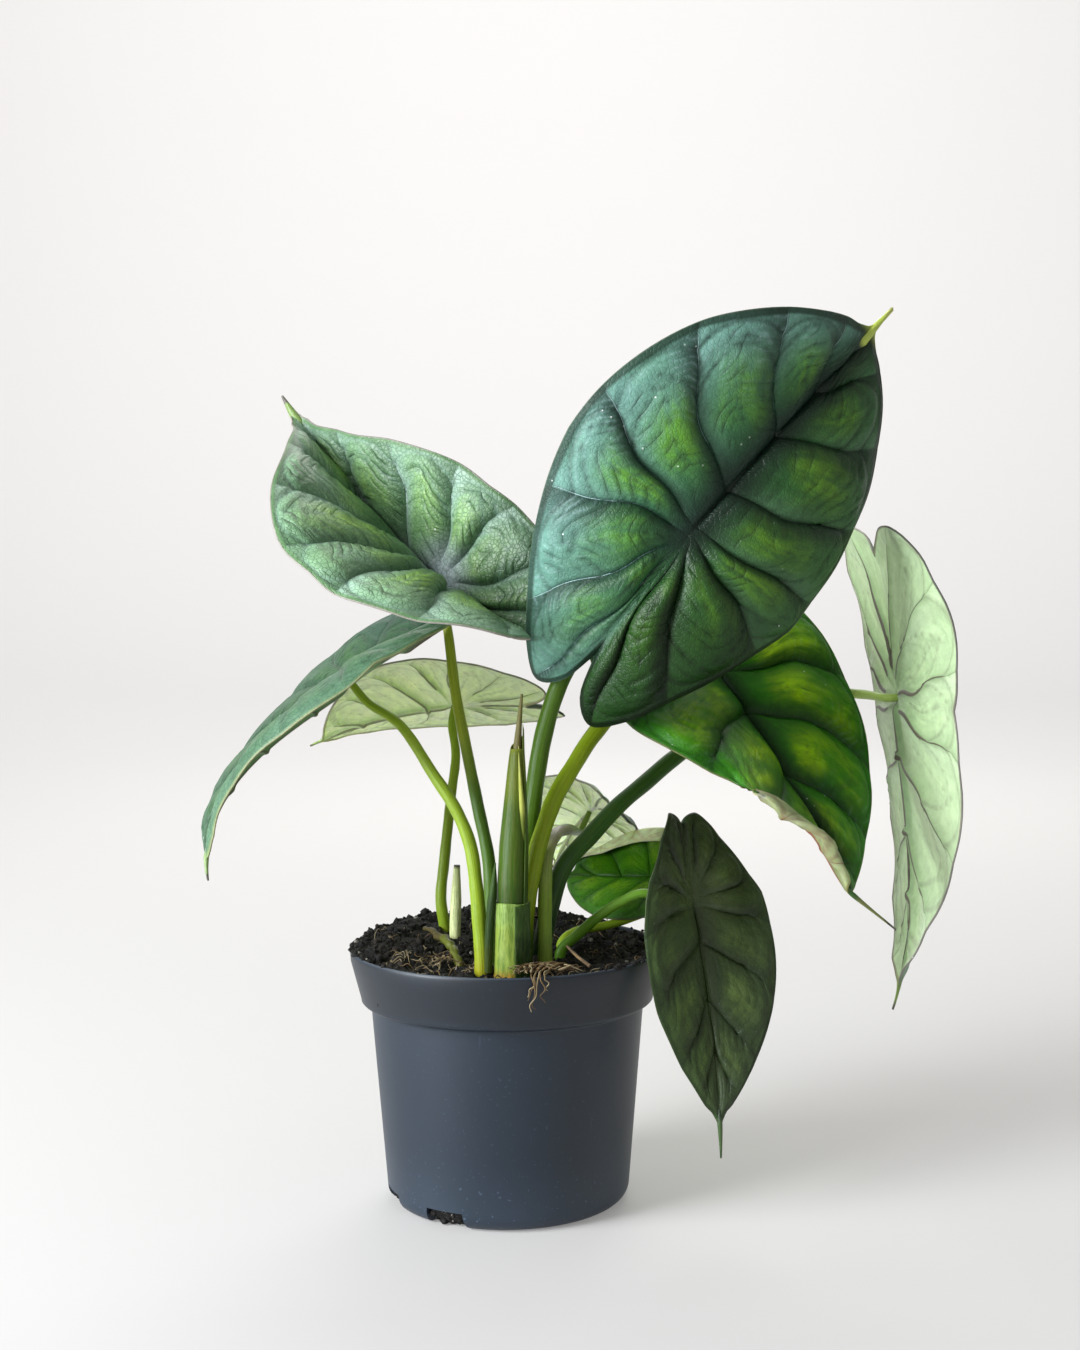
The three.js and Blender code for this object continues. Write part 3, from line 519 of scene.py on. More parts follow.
# what a leaf has unless it says otherwise, in millimetres, degrees and parts of its length
commonLeaf = {
    "notch": 1, "neck": 0, "steep": 1, "relief": 0.022, "wave": 0.012, "pucker": 0.004,
    "rimWidth": 1.2, "columns": 72, "forkDent": 0.55, "ribs": 1, "rolls": [], "tip": None, "tipFrom": 0.94,
    "tipLong": 0, "tipBend": 0, "shine": 0.36, "bump": 0.5, "glowing": False,
}
leaves = {
    "upper_right": {
        "place": (66.2, -45, 252.1), "heading": 96, "lift": 49, "roll": 76, "length": 105,
        "lobes": 1.02, "notch": 1.12, "taper": 0.25, "tipTaper": 0.06,
        "left": {"width": 1.02, "fold": 22, "tipFold": 23, "curl": 9},
        "right": {"width": 1.04, "fold": -4, "tipFold": 4, "curl": 47},
        "archTip": 26, "droop": -14, "archLobes": 51, "twist": -15, "sway": 1,
        "relief": 0.04, "wave": 0.006, "pucker": 0.0074, "rimWidth": 3.3, "columns": 88, "shine": 0.24,
        "bump": 0.8, "tip": (0.6, 2.1, 1.3, 0.3), "tipFrom": 0.86, "tipLong": 0.03,
        "slot": "dark_leaf", "upper": darkUpper, "under": greenUnder,
    },
    "upper_left": {
        "place": (-24.1, 9.6, 235.6), "heading": -132, "lift": 32, "roll": -22, "length": 107,
        "lobes": 0.85, "notch": 1.4, "taper": -0.26, "tipTaper": 0.59,
        "left": {"width": 1.27, "fold": 49, "tipFold": 14, "curl": 32},
        "right": {"width": 0.75, "fold": 70, "tipFold": 28, "curl": 8},
        "archTip": -16, "droop": -6, "archLobes": -37, "twist": 7, "sway": 2,
        "relief": 0.031, "pucker": 0.009, "rimWidth": 1.8, "columns": 84,
        "neck": 0.3, "bump": 1.0, "tip": (0.5, 2.5, 1.6, 0.5), "tipFrom": 0.86, "tipLong": -0.01, "steep": -1,
        "slot": "green_leaf", "upper": greenUpper, "under": greenUnder,
    },
    "drooping_left": {
        "place": (-57.9, -4.9, 197.6), "heading": -68, "lift": -34, "roll": 27, "length": 90.5,
        "lobes": 0.74, "notch": 1.9, "taper": 0.02, "tipTaper": 0.42,
        "left": {"width": 1.05, "fold": 11, "tipFold": -11, "lobeFold": -20, "curl": 40},
        "right": {"width": 1.06, "fold": 40, "tipFold": -20, "curl": 17},
        "archTip": -17, "droop": 70, "archLobes": 22, "twist": -5, "sway": -8,
        "relief": 0.014, "wave": 0.006, "pucker": 0.005, "rimWidth": 1.5,
        "forkDent": 0.2, "ribs": 0.3, "tip": (0.5, 1.0, 0.7, 0.35),
        "slot": "green_leaf", "upper": hangingUpper, "under": greenUnder,
    },
    "mid_left": {
        "place": (-20.4, 44.9, 185.7), "heading": -112, "lift": -6, "roll": 33, "length": 60,
        "lobes": 0.97, "taper": 0.02, "tipTaper": 0.06,
        "left": {"width": 1.01, "fold": 13, "tipFold": 4, "curl": 10},
        "right": {"width": 0.99, "fold": 24, "tipFold": 8, "curl": 14},
        "archTip": 20, "droop": 5, "archLobes": 16, "twist": 4, "sway": -4,
        "wave": 0.01, "columns": 48, "glowing": True,
        "slot": "pale_leaf", "upper": greenUpper, "under": litUnder,
    },
    "mid_right": {
        "place": (82.7, 18.1, 201.6), "heading": 45, "lift": -48, "roll": 4, "length": 111,
        "lobes": 0.92, "taper": 0.07, "tipTaper": 0.49,
        "left": {"width": 0.93, "fold": 26, "tipFold": -1, "curl": 19},
        "right": {"width": 0.89, "fold": 11, "tipFold": 17, "curl": 53},
        "archTip": 4, "droop": -10, "archLobes": -7, "twist": 22, "sway": 16,
        "relief": 0.03, "wave": 0.014, "pucker": 0.005, "columns": 76,
        "rolls": [{"side": 1, "from": 5.2, "full": 5.8, "last": 6.5, "to": 7.9, "width": 10, "radius": 1.7,
                   "turn": 2.8, "outward": 17, "blend": 26}],
        "tip": (0.5, 1.0, 0.6, 0.3), "tipBend": -0.28, "tipLong": -0.06, "shine": 0.18, "glowing": True,
        "slot": "bright_leaf", "upper": brightUpper, "under": foldUnder,
    },
    "far_right": {
        "place": (156.2, 24.9, 189.2), "heading": 113, "lift": -85, "roll": 14, "length": 117.5,
        "lobes": 0.78, "notch": 0.68, "taper": -0.93, "tipTaper": 0.12,
        "left": {"width": 0.95, "fold": -1, "tipFold": 7, "curl": -26},
        "right": {"width": 0.99, "fold": -19, "tipFold": 2, "curl": -33},
        "archTip": -16, "droop": 36, "archLobes": 13, "twist": -2, "sway": 0,
        "slot": "pale_leaf", "upper": greenUpper, "under": paleUnder,
    },
    "low_right": {
        "place": (69.6, -19.9, 117.1), "heading": 27, "lift": -74, "roll": -8, "length": 81.5,
        "lobes": 0.52, "notch": 0.51, "taper": 0.22, "tipTaper": 0.3,
        "left": {"width": 0.68, "fold": 18, "tipFold": 7, "curl": 12},
        "right": {"width": 0.61, "fold": 19, "tipFold": -9, "curl": 18},
        "archTip": -1, "droop": 10, "archLobes": -3, "twist": -21, "sway": 0,
        "relief": 0.017, "wave": 0.01, "shine": 0.3, "tip": (0.3, 1.0, 0.7, 0.3), "tipLong": 0.08,
        "slot": "old_leaf", "upper": oldUpper, "under": greenUnder,
    },
    "low_back": {
        "place": (65.5, 19, 119.4), "heading": -122, "lift": -4, "roll": -24, "length": 49.8,
        "lobes": 0.62, "taper": 0, "tipTaper": -0.05,
        "left": {"width": 0.9, "fold": 4, "tipFold": -6, "curl": 18},
        "right": {"width": 0.82, "fold": 3, "tipFold": 1, "curl": -62},
        "archTip": 6, "droop": -7, "archLobes": 17, "twist": 7, "sway": 3,
        "rimWidth": 0.9, "columns": 48,
        "rolls": [{"side": 1, "from": 1.2, "full": 3.0, "last": 5.6, "to": 7.6, "width": 11, "radius": 1.9,
                   "turn": 2.6, "outward": 8, "blend": 9}],
        "shine": 0.2, "glowing": True,
        "slot": "bright_leaf", "upper": freshUpper, "under": litCreamUnder,
    },
    "small_back": {
        "place": (35.2, 67, 139.5), "heading": -166, "lift": -18, "roll": 31, "length": 51.6,
        "lobes": 1.03, "taper": -0.04, "tipTaper": 0.01,
        "left": {"width": 0.88, "fold": 15, "tipFold": 1, "curl": 12},
        "right": {"width": 0.88, "fold": 8, "tipFold": 8, "curl": 18},
        "archTip": 25, "droop": 5, "archLobes": 22, "twist": 7, "sway": 9,
        "relief": 0.02, "wave": 0.016, "rimWidth": 0.9, "columns": 46, "glowing": True,
        "slot": "pale_leaf", "upper": greenUpper, "under": litUnder,
    },
}
leaves = {name: commonLeaf | leaf for name, leaf in leaves.items()}


# a smooth curve through values that stand half a row apart
def rowCurve(values, row):
    i = np.minimum(len(values) - 2, np.floor(row * 2).astype(int))
    f = row * 2 - i
    slopes = np.gradient(values)
    return ((2 * f**3 - 3 * f**2 + 1) * values[i] + (f**3 - 2 * f**2 + f) * slopes[i]
            + (3 * f**2 - 2 * f**3) * values[i + 1] + (f**3 - f**2) * slopes[i + 1])


# a place on the flat blade, in millimetres from the joint
def flatPlace(leaf, side, row, along):
    half = leaf["right"] if side > 0 else leaf["left"]
    endX = rowCurve(outlineX, row) * half["width"]
    endY = rowCurve(outlineY, row)
    endY = np.where(row < 1, -0.765 + (endY + 0.765) * leaf["notch"], endY)
    endX = endX * (1 + leaf["taper"] * np.minimum(endY, 0) - leaf["tipTaper"] * np.clip(endY, 0, 1)**2)
    endX = endX * (1 - leaf["neck"] * np.exp(-((row - 7.2) / 0.55)**2))
    endY = np.where(endY < 0, endY * leaf["lobes"], endY)
    start = np.interp(row, veinRows, veinStart)
    middleX = np.interp(row, veinRows, veinOut) * endX
    middleY = start + np.interp(row, veinRows, veinUp) * (endY - start)
    a, b, c = (1 - along)**2, 2 * along * (1 - along), along**2
    length = leaf["length"]
    return side * length * (b * middleX + c * endX), length * (a * start + b * middleY + c * endY)


# bends a place on the flat blade, with its height, into the blade's own axes
def bendPlace(leaf, side, x, y, height):
    length = leaf["length"]
    half = leaf["right"] if side > 0 else leaf["left"]
    v = y / length
    near = np.clip(v, -1, 1)
    lobeFold = half.get("lobeFold", -half["tipFold"])
    fold = np.radians(half["fold"] + np.where(near > 0, half["tipFold"] * near, -lobeFold * near))
    curl = math.radians(half["curl"]) / (0.5 * length)
    angle = fold - curl * np.abs(x)
    across = side * ((np.sin(fold) - np.sin(angle)) / curl - np.sin(angle) * height)
    above = (np.cos(angle) - np.cos(fold)) / curl + np.cos(angle) * height
    across = across + length * leaf["tipBend"] * np.clip((v - 0.96) / 0.12, 0, 1)**1.6
    v = v + leaf["tipLong"] * np.clip((v - 0.96) / 0.12, 0, 1)
    twist = math.radians(leaf["twist"]) * v
    tx = across * np.cos(twist) - above * np.sin(twist)
    tz = across * np.sin(twist) + above * np.cos(twist)

    def pitch(w):
        return np.radians(np.where(w > 0, leaf["archTip"] * w + leaf["droop"] * w * w, leaf["archLobes"] * w))

    sway = math.radians(leaf["sway"])
    steps = 24
    spine = np.zeros(v.shape + (3,))
    for i in range(steps):
        w = v * (i + 0.5) / steps
        p = pitch(w)
        spine += np.stack([np.cos(p) * np.sin(sway * w), np.cos(p) * np.cos(sway * w), -np.sin(p)], -1)
    spine *= (v * length / steps)[..., None]
    p, s = pitch(v), sway * v
    tangent = np.stack([np.cos(p) * np.sin(s), np.cos(p) * np.cos(s), -np.sin(p)], -1)
    normal = np.stack([np.sin(p) * np.sin(s), np.sin(p) * np.cos(s), np.cos(p)], -1)
    right = np.cross(tangent, normal)
    return spine + right * tx[..., None] + normal * tz[..., None]


# a leaf's right side, its tip and its upper face as directions
def leafAxes(leaf):
    a, e, r = (math.radians(leaf[k]) for k in ("heading", "lift", "roll"))
    tip = np.array([math.cos(e) * math.sin(a), -math.cos(e) * math.cos(a), math.sin(e)])
    up = np.array([-math.sin(e) * math.sin(a), math.sin(e) * math.cos(a), math.cos(e)])
    face = up * math.cos(r) + np.cross(tip, up) * math.sin(r)
    return np.cross(tip, face), tip, face


# the relief between the veins: how far its humps lean, how full they are, and depths in millimetres
# on a blade with a length of 100
quilt = {
    "lean": 1.45, "fullness": 2.4, "rimDip": 0.012, "bayDepth": 6.5, "veinDent": 0.85, "midDent": 1.1,
    "veinRib": 0.6, "midRib": 1.3, "rimRoll": 0.6, "drift": 0.014, "wrinkleStep": 0.05, "wrinkleSlant": 0.6,
}


# a margin that folds right over, as far as the leaf's own rolls say; out points across the margin
def foldMargin(leaf, side, row, rimGap, out, x, y, height):
    for roll in leaf["rolls"]:
        if roll["side"] != side:
            continue
        part = ramp(roll["from"], roll["full"], row) * (1 - ramp(roll["last"], roll["to"], row))
        width, radius = roll["width"] * part, roll["radius"]
        past = np.maximum(width - rimGap, 0)
        turn = np.minimum(past / radius, roll["turn"])
        flat = past - radius * turn
        outward = roll["outward"] * part
        reachOut = np.where(past > 0, radius * np.sin(turn) + flat * np.cos(turn) - past + outward,
                            outward * (1 - ramp(0, roll["blend"], rimGap - width)))
        x, y = x + out[0] * reachOut, y + out[1] * reachOut
        height = height + radius * (1 - np.cos(turn)) + flat * np.sin(turn)
    return x, y, height


# everything about one half of a blade on a grid of rows and columns
def halfBlade(leaf, side, rows, columns):
    row, along = np.meshgrid(rows, columns, indexing="ij")
    length = leaf["length"]
    grow = length / 100
    x, y = flatPlace(leaf, side, row, along)
    jointGap = np.hypot(x, y)

    # how a place moves with its row, or else with its way along the row
    def slope(byRow, last):
        way = row if byRow else along
        low, high = np.clip(way - 1e-3, 0, last), np.clip(way + 1e-3, 0, last)
        ax, ay = flatPlace(leaf, side, high if byRow else row, along if byRow else high)
        bx, by = flatPlace(leaf, side, low if byRow else row, along if byRow else low)
        return (ax - bx) / (high - low), (ay - by) / (high - low)

    (rx, ry), (cx, cy) = slope(True, 8.5), slope(False, 1)
    pitch = np.abs(rx * cy - ry * cx) / np.maximum(np.hypot(cx, cy), 1e-6)
    f = row - np.floor(row)
    middle = np.minimum(f, 1 - f) * 2
    veinGap = middle / 2 * pitch
    strength = np.interp(np.round(row), range(10), veinStrength)
    strength = strength * np.interp(along, [0, 0.5, 1], [1, 0.85, 0.45])
    midGap = np.where(y > 0, np.abs(x), jointGap)
    mx, my = flatPlace(leaf, side, rows, np.ones_like(rows))
    tx, ty = np.gradient(mx, rows), np.gradient(my, rows)
    scale = np.maximum(np.hypot(tx, ty), 1e-6)
    outX, outY = (ty / scale)[:, None], (-tx / scale)[:, None]
    flip = np.sign(np.sum(outX * cx[:, -1:] + outY * cy[:, -1:]))
    outX, outY = outX * flip, outY * flip
    rimGap = np.abs((mx[:, None] - x) * outX + (my[:, None] - y) * outY)
    sx, sy = flatPlace(leaf, side, rows, np.zeros_like(rows))
    veinLength = np.hypot(mx - sx, my - sy)[:, None]
    wobble = np.sin(x * 0.19 + 1.5 * np.sin(y * 0.13 + leaf["heading"])) + np.sin(y * 0.23 - x * 0.11)
    phase = along * veinLength - quilt["wrinkleSlant"] * veinGap
    phase = phase / (quilt["wrinkleStep"] * length) + 0.3 * wobble
    # the quilted form, as in the solid
    steep = leaf["steep"]
    skewed = f**quilt["lean"] if steep > 0 else 1 - (1 - f)**quilt["lean"]
    pillow = 1 - np.abs(2 * skewed - 1)**quilt["fullness"]
    span = np.interp(row, [0, 1, 2, 7, 8, 8.5], [0.35, 0.7, 1, 0.8, 0.1, 0])
    rise = np.sin(np.pi * along**0.8).clip(0)**0.7
    edge = ramp(0.84, 1, along) * (1 - ramp(7, 8.6, row))
    waved = leaf["wave"] * (np.sin(np.pi * f)**2 - 0.5) * ramp(0.6, 1, along) * (1 - ramp(6.4, 7.8, row))
    # each hump ends in an arch, farther inside the margin where a vein runs out
    bay = rimGap - leaf["rimWidth"] - quilt["bayDepth"] * grow * (1 - np.sin(np.pi * f))**1.3
    puff = span * pillow * rise * (0.2 + 0.8 * ramp(-1.5, 4.5, bay))
    puff = puff * ramp(0, 0.2, jointGap / length) * ramp(0.5 * grow, 9 * grow, pitch)
    height = length * (leaf["relief"] * puff - quilt["rimDip"] * edge + waved)
    # forks of the side veins, the zigzag between them and the scallops inside the margin
    shift = 0.06 * np.sin(np.floor(row) * 2.3 + side + leaf["heading"])
    branch = np.abs(along - 0.56 - shift - 0.3 * middle**0.8) * veinLength * 0.75
    zigzag = np.abs(f - 0.5 - 0.05 * np.sin(np.pi * phase)) * pitch
    zigzag = zigzag + 9 * (1 - ramp(0.12, 0.3, along) * (1 - ramp(0.78, 0.92, along)))
    forkGap = np.minimum(np.minimum(branch, np.abs(bay)), zigzag * 1.2) + 12 * (1 - (span / 0.8).clip(0, 1))
    # the veins wander a little between the midrib and the margin
    inner = np.sin(np.pi * along.clip(0, 1))**0.8 * (1 - ramp(6.8, 7.8, row)) * ramp(0.2, 1.2, row)
    drift = quilt["drift"] * length * inner
    driftX = drift * np.sin(y * 0.155 + x * 0.07 + side * 1.3 + leaf["heading"])
    driftY = drift * np.sin(x * 0.165 - y * 0.05 + side * 2.1)
    # small puckers between the cross veins
    inside = ramp(0.05, 0.24, along) * ramp(leaf["rimWidth"], leaf["rimWidth"] + 2.5, rimGap)
    inside = inside * ramp(0, 0.2, middle) * (1 - 0.45 * ramp(0.5, 1, middle))
    inside = inside * (0.65 + 0.35 * np.sin(x * 0.11 + y * 0.17 + side))
    height += length * leaf["pucker"] * (np.abs(np.sin(np.pi * phase))**0.7 - 0.62) * inside
    # sunken veins, and the groove inside the rolled margin
    strength = strength * (0.25 + 0.75 * ramp(-2, 2, bay)) * ramp(0.5 * grow, 5 * grow, pitch)
    calm = 1 - ramp(1, 13, jointGap)
    veinDent = strength * np.exp(-(veinGap / (0.9 * grow))**2) * (1 - calm)
    midDent = np.exp(-(midGap / (1.3 * grow))**2) * np.interp(y / length, [0, 0.9, 1.05], [1, 0.35, 0])
    midDent = midDent * (0.1 + 0.9 * ramp(1, 6, jointGap))
    rolled = ramp(leaf["rimWidth"], 0, rimGap)**2 * (1 - ramp(7.4, 8.2, row))
    forkDent = leaf["forkDent"] * np.exp(-(forkGap / 1.4)**2)
    height -= grow * (quilt["veinDent"] * veinDent + quilt["midDent"] * midDent + forkDent)
    height -= quilt["rimRoll"] * rolled
    ribs = grow * (quilt["veinRib"] * veinDent * (1 - 0.5 * along) + quilt["midRib"] * midDent)
    ribs = leaf["ribs"] * (ribs + 0.12 * inside * (1 - np.abs(np.sin(np.pi * phase)))**3)
    x, y = x + driftX, y + driftY
    x, y, height = foldMargin(leaf, side, row, rimGap, (outX, outY), x, y, height)
    values = {
        "veinGap": np.where(strength > 0.02, veinGap / np.maximum(strength, 0.05)**0.5, 40) + 2.5 * calm,
        "midGap": midGap / np.interp(y / length, [0, 1], [1, 0.5]),
        "rimGap": rimGap,
        "forkGap": forkGap,
        "crossPhase": phase + 40,
        "puff": puff.clip(0, 1),
        "flank": (2 * f - 1) * steep,
        "row": row + leaf["heading"],
        "reach": along,
        "half": 0.5 + 0.5 * side * ramp(0, 3, np.abs(x)),
        "tipShade": ((y / length - 0.95) / 0.125).clip(0, 1),
        "jointGap": np.hypot(x, y),
        "lobe": ramp(0.1, -0.35, y / length),
    }
    right, tip, face = leafAxes(leaf)
    local = bendPlace(leaf, side, x, y, height)
    world = np.array(leaf["place"]) + local[..., 0:1] * right + local[..., 1:2] * tip + local[..., 2:3] * face
    return world, ribs, values


# rows lie close together near the side veins
def leafRows(fine):
    steps = [0, 0.015, 0.04, 0.075, 0.12, 0.19, 0.28, 0.39] if fine else [0, 0.02, 0.06, 0.13, 0.24, 0.37]
    steps = steps + [0.5] + [1 - s for s in reversed(steps[1:])]
    rows = [k + s for k in range(8) for s in steps] + [8 + s for s in steps if s <= 0.5]
    return np.array(rows)


# columns lie close together near the midrib and the margin
def leafColumns(count):
    s = np.linspace(0, 1, count)
    return s - 0.55 * np.sin(math.tau * s) / math.tau


# both halves as one set of points, which share those of the midrib and of the notch
def joinHalves(leaf, rows, columns):
    starts = np.interp(rows, veinRows, veinStart)
    points, ribs, values, tables, shared = [], [], {}, {}, {}
    for side in (1, -1):
        world, rib, numbers = halfBlade(leaf, side, rows, columns)
        table = tables[side] = np.zeros((len(rows), len(columns)), dtype=int)
        for i in range(len(rows)):
            for j in range(len(columns)):
                key = None
                if j == 0:
                    key = ("midrib", round(float(starts[i]), 6))
                elif i == 0:
                    key = ("notch", j)
                if key in shared:
                    table[i, j] = shared[key]
                    continue
                table[i, j] = len(points)
                if key is not None:
                    shared[key] = len(points)
                points.append(world[i, j])
                ribs.append(rib[i, j])
                for label, grid in numbers.items():
                    values.setdefault(label, []).append(grid[i, j])
    return np.array(points), np.array(ribs), values, tables


# faces over both halves, with three corners where rows start from one point
def bladeFaces(tables):
    faces = []
    for side, t in tables.items():
        for i in range(t.shape[0] - 1):
            for j in range(t.shape[1] - 1):
                face = [t[i, j], t[i, j + 1], t[i + 1, j + 1], t[i + 1, j]]
                if face[0] == face[3]:
                    face = face[:3]
                faces.append(face if side > 0 else face[::-1])
    return faces


def pointNormals(points, faces):
    normals = np.zeros_like(points)
    corners = np.array([f[:3] for f in faces])
    first, second, third = (points[corners[:, k]] for k in range(3))
    flat = np.cross(second - first, third - first)
    for k in range(3):
        np.add.at(normals, corners[:, k], flat)
    return normals / np.maximum(np.linalg.norm(normals, axis=1), 1e-12)[:, None]


def makeLeaf(name, leaf):
    rows, columns = leafRows(leaf["columns"] > 60), leafColumns(leaf["columns"])
    points, ribs, values, tables = joinHalves(leaf, rows, columns)
    faces = bladeFaces(tables)
    normals = pointNormals(points, faces)
    count = len(points)
    upper = points + normals * (bladeThickness / 2)
    lower = points - normals * (bladeThickness / 2 + ribs[:, None])
    right, left = tables[1], tables[-1]
    rowCount, last = len(rows), len(columns) - 1

    # the points round the margin, or as many columns and rows inside it
    def marginPoints(inset):
        return ([right[i, last - inset] for i in range(rowCount)]
                + [right[-1 - inset, j] for j in range(last - 1, -1, -1)]
                + [left[-1 - inset, j] for j in range(1, last + 1)]
                + [left[i, last - inset] for i in range(rowCount - 2, 0, -1)])

    loop, inner = marginPoints(0), marginPoints(1)
    outward = points[loop] - points[inner]
    outward /= np.maximum(np.linalg.norm(outward, axis=1), 1e-9)[:, None]
    rounded = points[loop] + outward * marginRound
    allPoints = np.vstack([upper, lower, rounded])
    solid = [tuple(f) for f in faces] + [tuple(k + count for k in reversed(f)) for f in faces]
    slots = [0] * len(faces) + [1] * len(faces)
    for k in range(len(loop)):
        n = (k + 1) % len(loop)
        a, b = loop[k], loop[n]
        c, d = 2 * count + k, 2 * count + n
        solid += [(a, c, d, b), (c, a + count, b + count, d)]
        slots += [0, 0]
    for label in values:
        numbers = np.array(values[label])
        values[label] = np.concatenate([numbers, numbers, numbers[loop]])
    plain = {"Specular IOR Level": leaf["shine"]}
    if leaf["glowing"]:    # thin blades that let the light through
        plain |= {"Subsurface Weight": 0.8, "Subsurface Scale": 1.5 * mm,
                  "Subsurface Radius": (0.8, 1.0, 0.3)}
    upperSkin = groupMaterial(f"{name}Upper", leafSkin, leaf["upper"], plain, leaf["bump"])
    underSkin = groupMaterial(f"{name}Under", leafSkin, leaf["under"], plain)
    piece = meshPiece(f"leaf_{name}", allPoints, solid, [upperSkin, underSkin], slots, values)
    finishPiece(piece, leaf["slot"], f"blade_{name}")


for leafName, leafPlan in leaves.items():
    makeLeaf(leafName, leafPlan)
print("leaves")


def makeStalkSkin():
    tree, given, out = newSkin("stalkSkin", ("Foot", "Middle", "Top", "Streak", "End"),
                               ("Foot End", "Top Start", "Streak Amount", "End Start"))
    along = readValue(tree, "along")
    turn = times(readValue(tree, "around"), math.tau)
    run = {0: times(calc("COSINE", turn), 3.0), 1: times(calc("SINE", turn), 3.0), 2: times(along, 3.0)}
    fibre = noiseValue(tree, 2.2, 4.0, addNode(tree, "ShaderNodeCombineXYZ", run).outputs[0], 0.6)
    patch, spots = noiseValue(tree, 60.0, 2.0), noiseValue(tree, 700.0, 1.0)
    place = timesPlus(calc("SUBTRACT", patch, 0.5), 0.12, along)
    footEnd, topStart, endStart = given["Foot End"], given["Top Start"], given["End Start"]
    colour = mixColour(stepUp(place, times(footEnd, 0.6), footEnd), given["Foot"], given["Middle"])
    colour = mixColour(stepUp(place, topStart, calc("ADD", topStart, 0.16)), colour, given["Top"])
    streak = times(stepUp(fibre, 0.42, 0.68), given["Streak Amount"])
    colour = mixColour(streak, colour, given["Streak"])
    colour = mixColour(stepUp(along, endStart, calc("ADD", endStart, 0.05)), colour, given["End"])
    feed(out["Color"], shadeColour(colour, timesPlus(patch, 0.34, timesPlus(spots, 0.2, 0.74))))
    feed(out["Roughness"], timesPlus(patch, 0.2, 0.28))
    feed(out["Height"], calc("ADD", fibre, times(spots, 0.3)))
    return tree


stalkSkin = makeStalkSkin()

greenStalk = {
    "Foot": (150, 144, 30), "Middle": (130, 154, 34), "Top": (146, 170, 46), "Streak": (88, 116, 24),
    "End": (60, 74, 34), "Foot End": 0.3, "Top Start": 0.6, "Streak Amount": 0.5, "End Start": 1.2,
}
darkStalk = greenStalk | {
    "Foot": (70, 96, 22), "Middle": (66, 96, 18), "Top": (86, 114, 28), "Streak": (88, 120, 36),
    "Streak Amount": 0.35,
}
yellowStalk = greenStalk | {
    "Foot": (56, 88, 12), "Middle": (126, 148, 20), "Top": (152, 170, 42), "Streak": (80, 104, 10),
    "Streak Amount": 0.4,
}

# each stalk's path in millimetres, from the soil to the blade
stalks = {
    "upper_right": {
        "radii": (3.7, 3.3, 1.9), "slot": "dark_stalk", "skin": darkStalk,
        "path": [(3, -15, 92), (4.5, -15, 107), (6.9, -15, 127.8), (9.7, -14, 151.4), (14.8, -14, 180.7),
                 (21.6, -15, 200.6), (33.5, -17, 219.6), (49, -22, 238)],
    },
    "upper_left": {
        "radii": (2.9, 2.1, 1.7), "lead": 6, "slot": "green_stalk",
        "skin": greenStalk | {"Foot": (56, 86, 22), "Middle": (66, 98, 24),
                              "Top": (144, 156, 44), "Top Start": 0.5},
        "path": [(-5.6, -23, 92), (-6, -22, 108.4), (-6.5, -19, 131.2), (-10.5, -14, 151.6),
                 (-14.6, -8, 171.8), (-18.7, -2, 192.6), (-22, 5, 218.5)],
    },
    "drooping_left": {
        "radii": (3.1, 2.2, 1.5), "slot": "green_stalk", "skin": greenStalk,
        "path": [(-9.2, -35, 88), (-9.2, -35, 98), (-10, -34, 110.7), (-11.2, -32, 125.1),
                 (-13.3, -29, 139.4), (-18.4, -26, 152), (-27, -21, 164.9), (-39.4, -14, 182.6)],
    },
    "mid_left": {
        "radii": (2.5, 2, 1.6), "slot": "green_stalk", "skin": greenStalk,
        "path": [(-24.2, 27, 90), (-24.7, 27, 97.4), (-26.2, 27, 110.3), (-24.9, 28, 123.7),
                 (-21.9, 31, 150.6), (-20, 35, 167)],
    },
    "mid_right": {
        "radii": (3.5, 3.1, 2), "slot": "yellow_stalk", "skin": yellowStalk,
        "path": [(6, -25, 92), (7, -25, 112.6), (10.2, -24, 131.8), (13.7, -22, 143.8), (18.6, -19, 156.1),
                 (25.6, -14, 167.1), (33, -8, 177.5), (46, 3, 189.5), (63, 14, 196)],
    },
    "far_right": {
        "radii": (3.7, 3.1, 1.5), "lead": 4, "slot": "dark_stalk",
        "skin": darkStalk | {"Foot": (34, 64, 28), "Middle": (52, 88, 36),
                             "Top": (160, 184, 92)},
        "path": [(13, -8, 92), (14.8, -8, 105.6), (21.6, -4, 126.7), (32.3, 4, 137.8),
                 (44, 12, 148.7), (54.7, 19, 156.5), (68.1, 27, 166.3), (90.4, 37, 179),
                 (112, 51, 186.5), (130, 52, 189.5), (145, 39, 189.5)],
    },
    "low_right": {
        "radii": (2.2, 1.9, 1.4), "slot": "green_stalk",
        "skin": greenStalk | {"Foot": (84, 122, 30), "Middle": (92, 138, 34),
                              "Top": (112, 158, 52)},
        "path": [(20, -11.5, 88), (20.5, -11.5, 96.5), (26.1, -12, 102), (34.7, -14, 109.9),
                 (43.3, -15, 115.6), (51, -15, 118.6)],
    },
    "low_back": {
        "radii": (2, 1.7, 1.3), "slot": "green_stalk", "skin": greenStalk,
        "path": [(21, 5, 88), (21.2, 5.4, 96), (26, 9, 99.4), (40, 15.5, 101), (55, 20, 105)],
    },
    "small_back": {
        "radii": (3, 2.2, 1.1), "slot": "sheath_stalk",
        "skin": greenStalk | {"Foot": (118, 148, 44), "Middle": (150, 142, 116),
                              "Top": (96, 126, 40), "Streak": (96, 92, 60),
                              "Foot End": 0.56, "Top Start": 0.56},
        "path": [(14, -28, 88), (14, -27.5, 100), (14.2, -24, 118), (15.4, -16, 134),
                 (19, -3, 139.5), (24.5, 18, 138.5), (29, 48, 133.5)],
    },
}
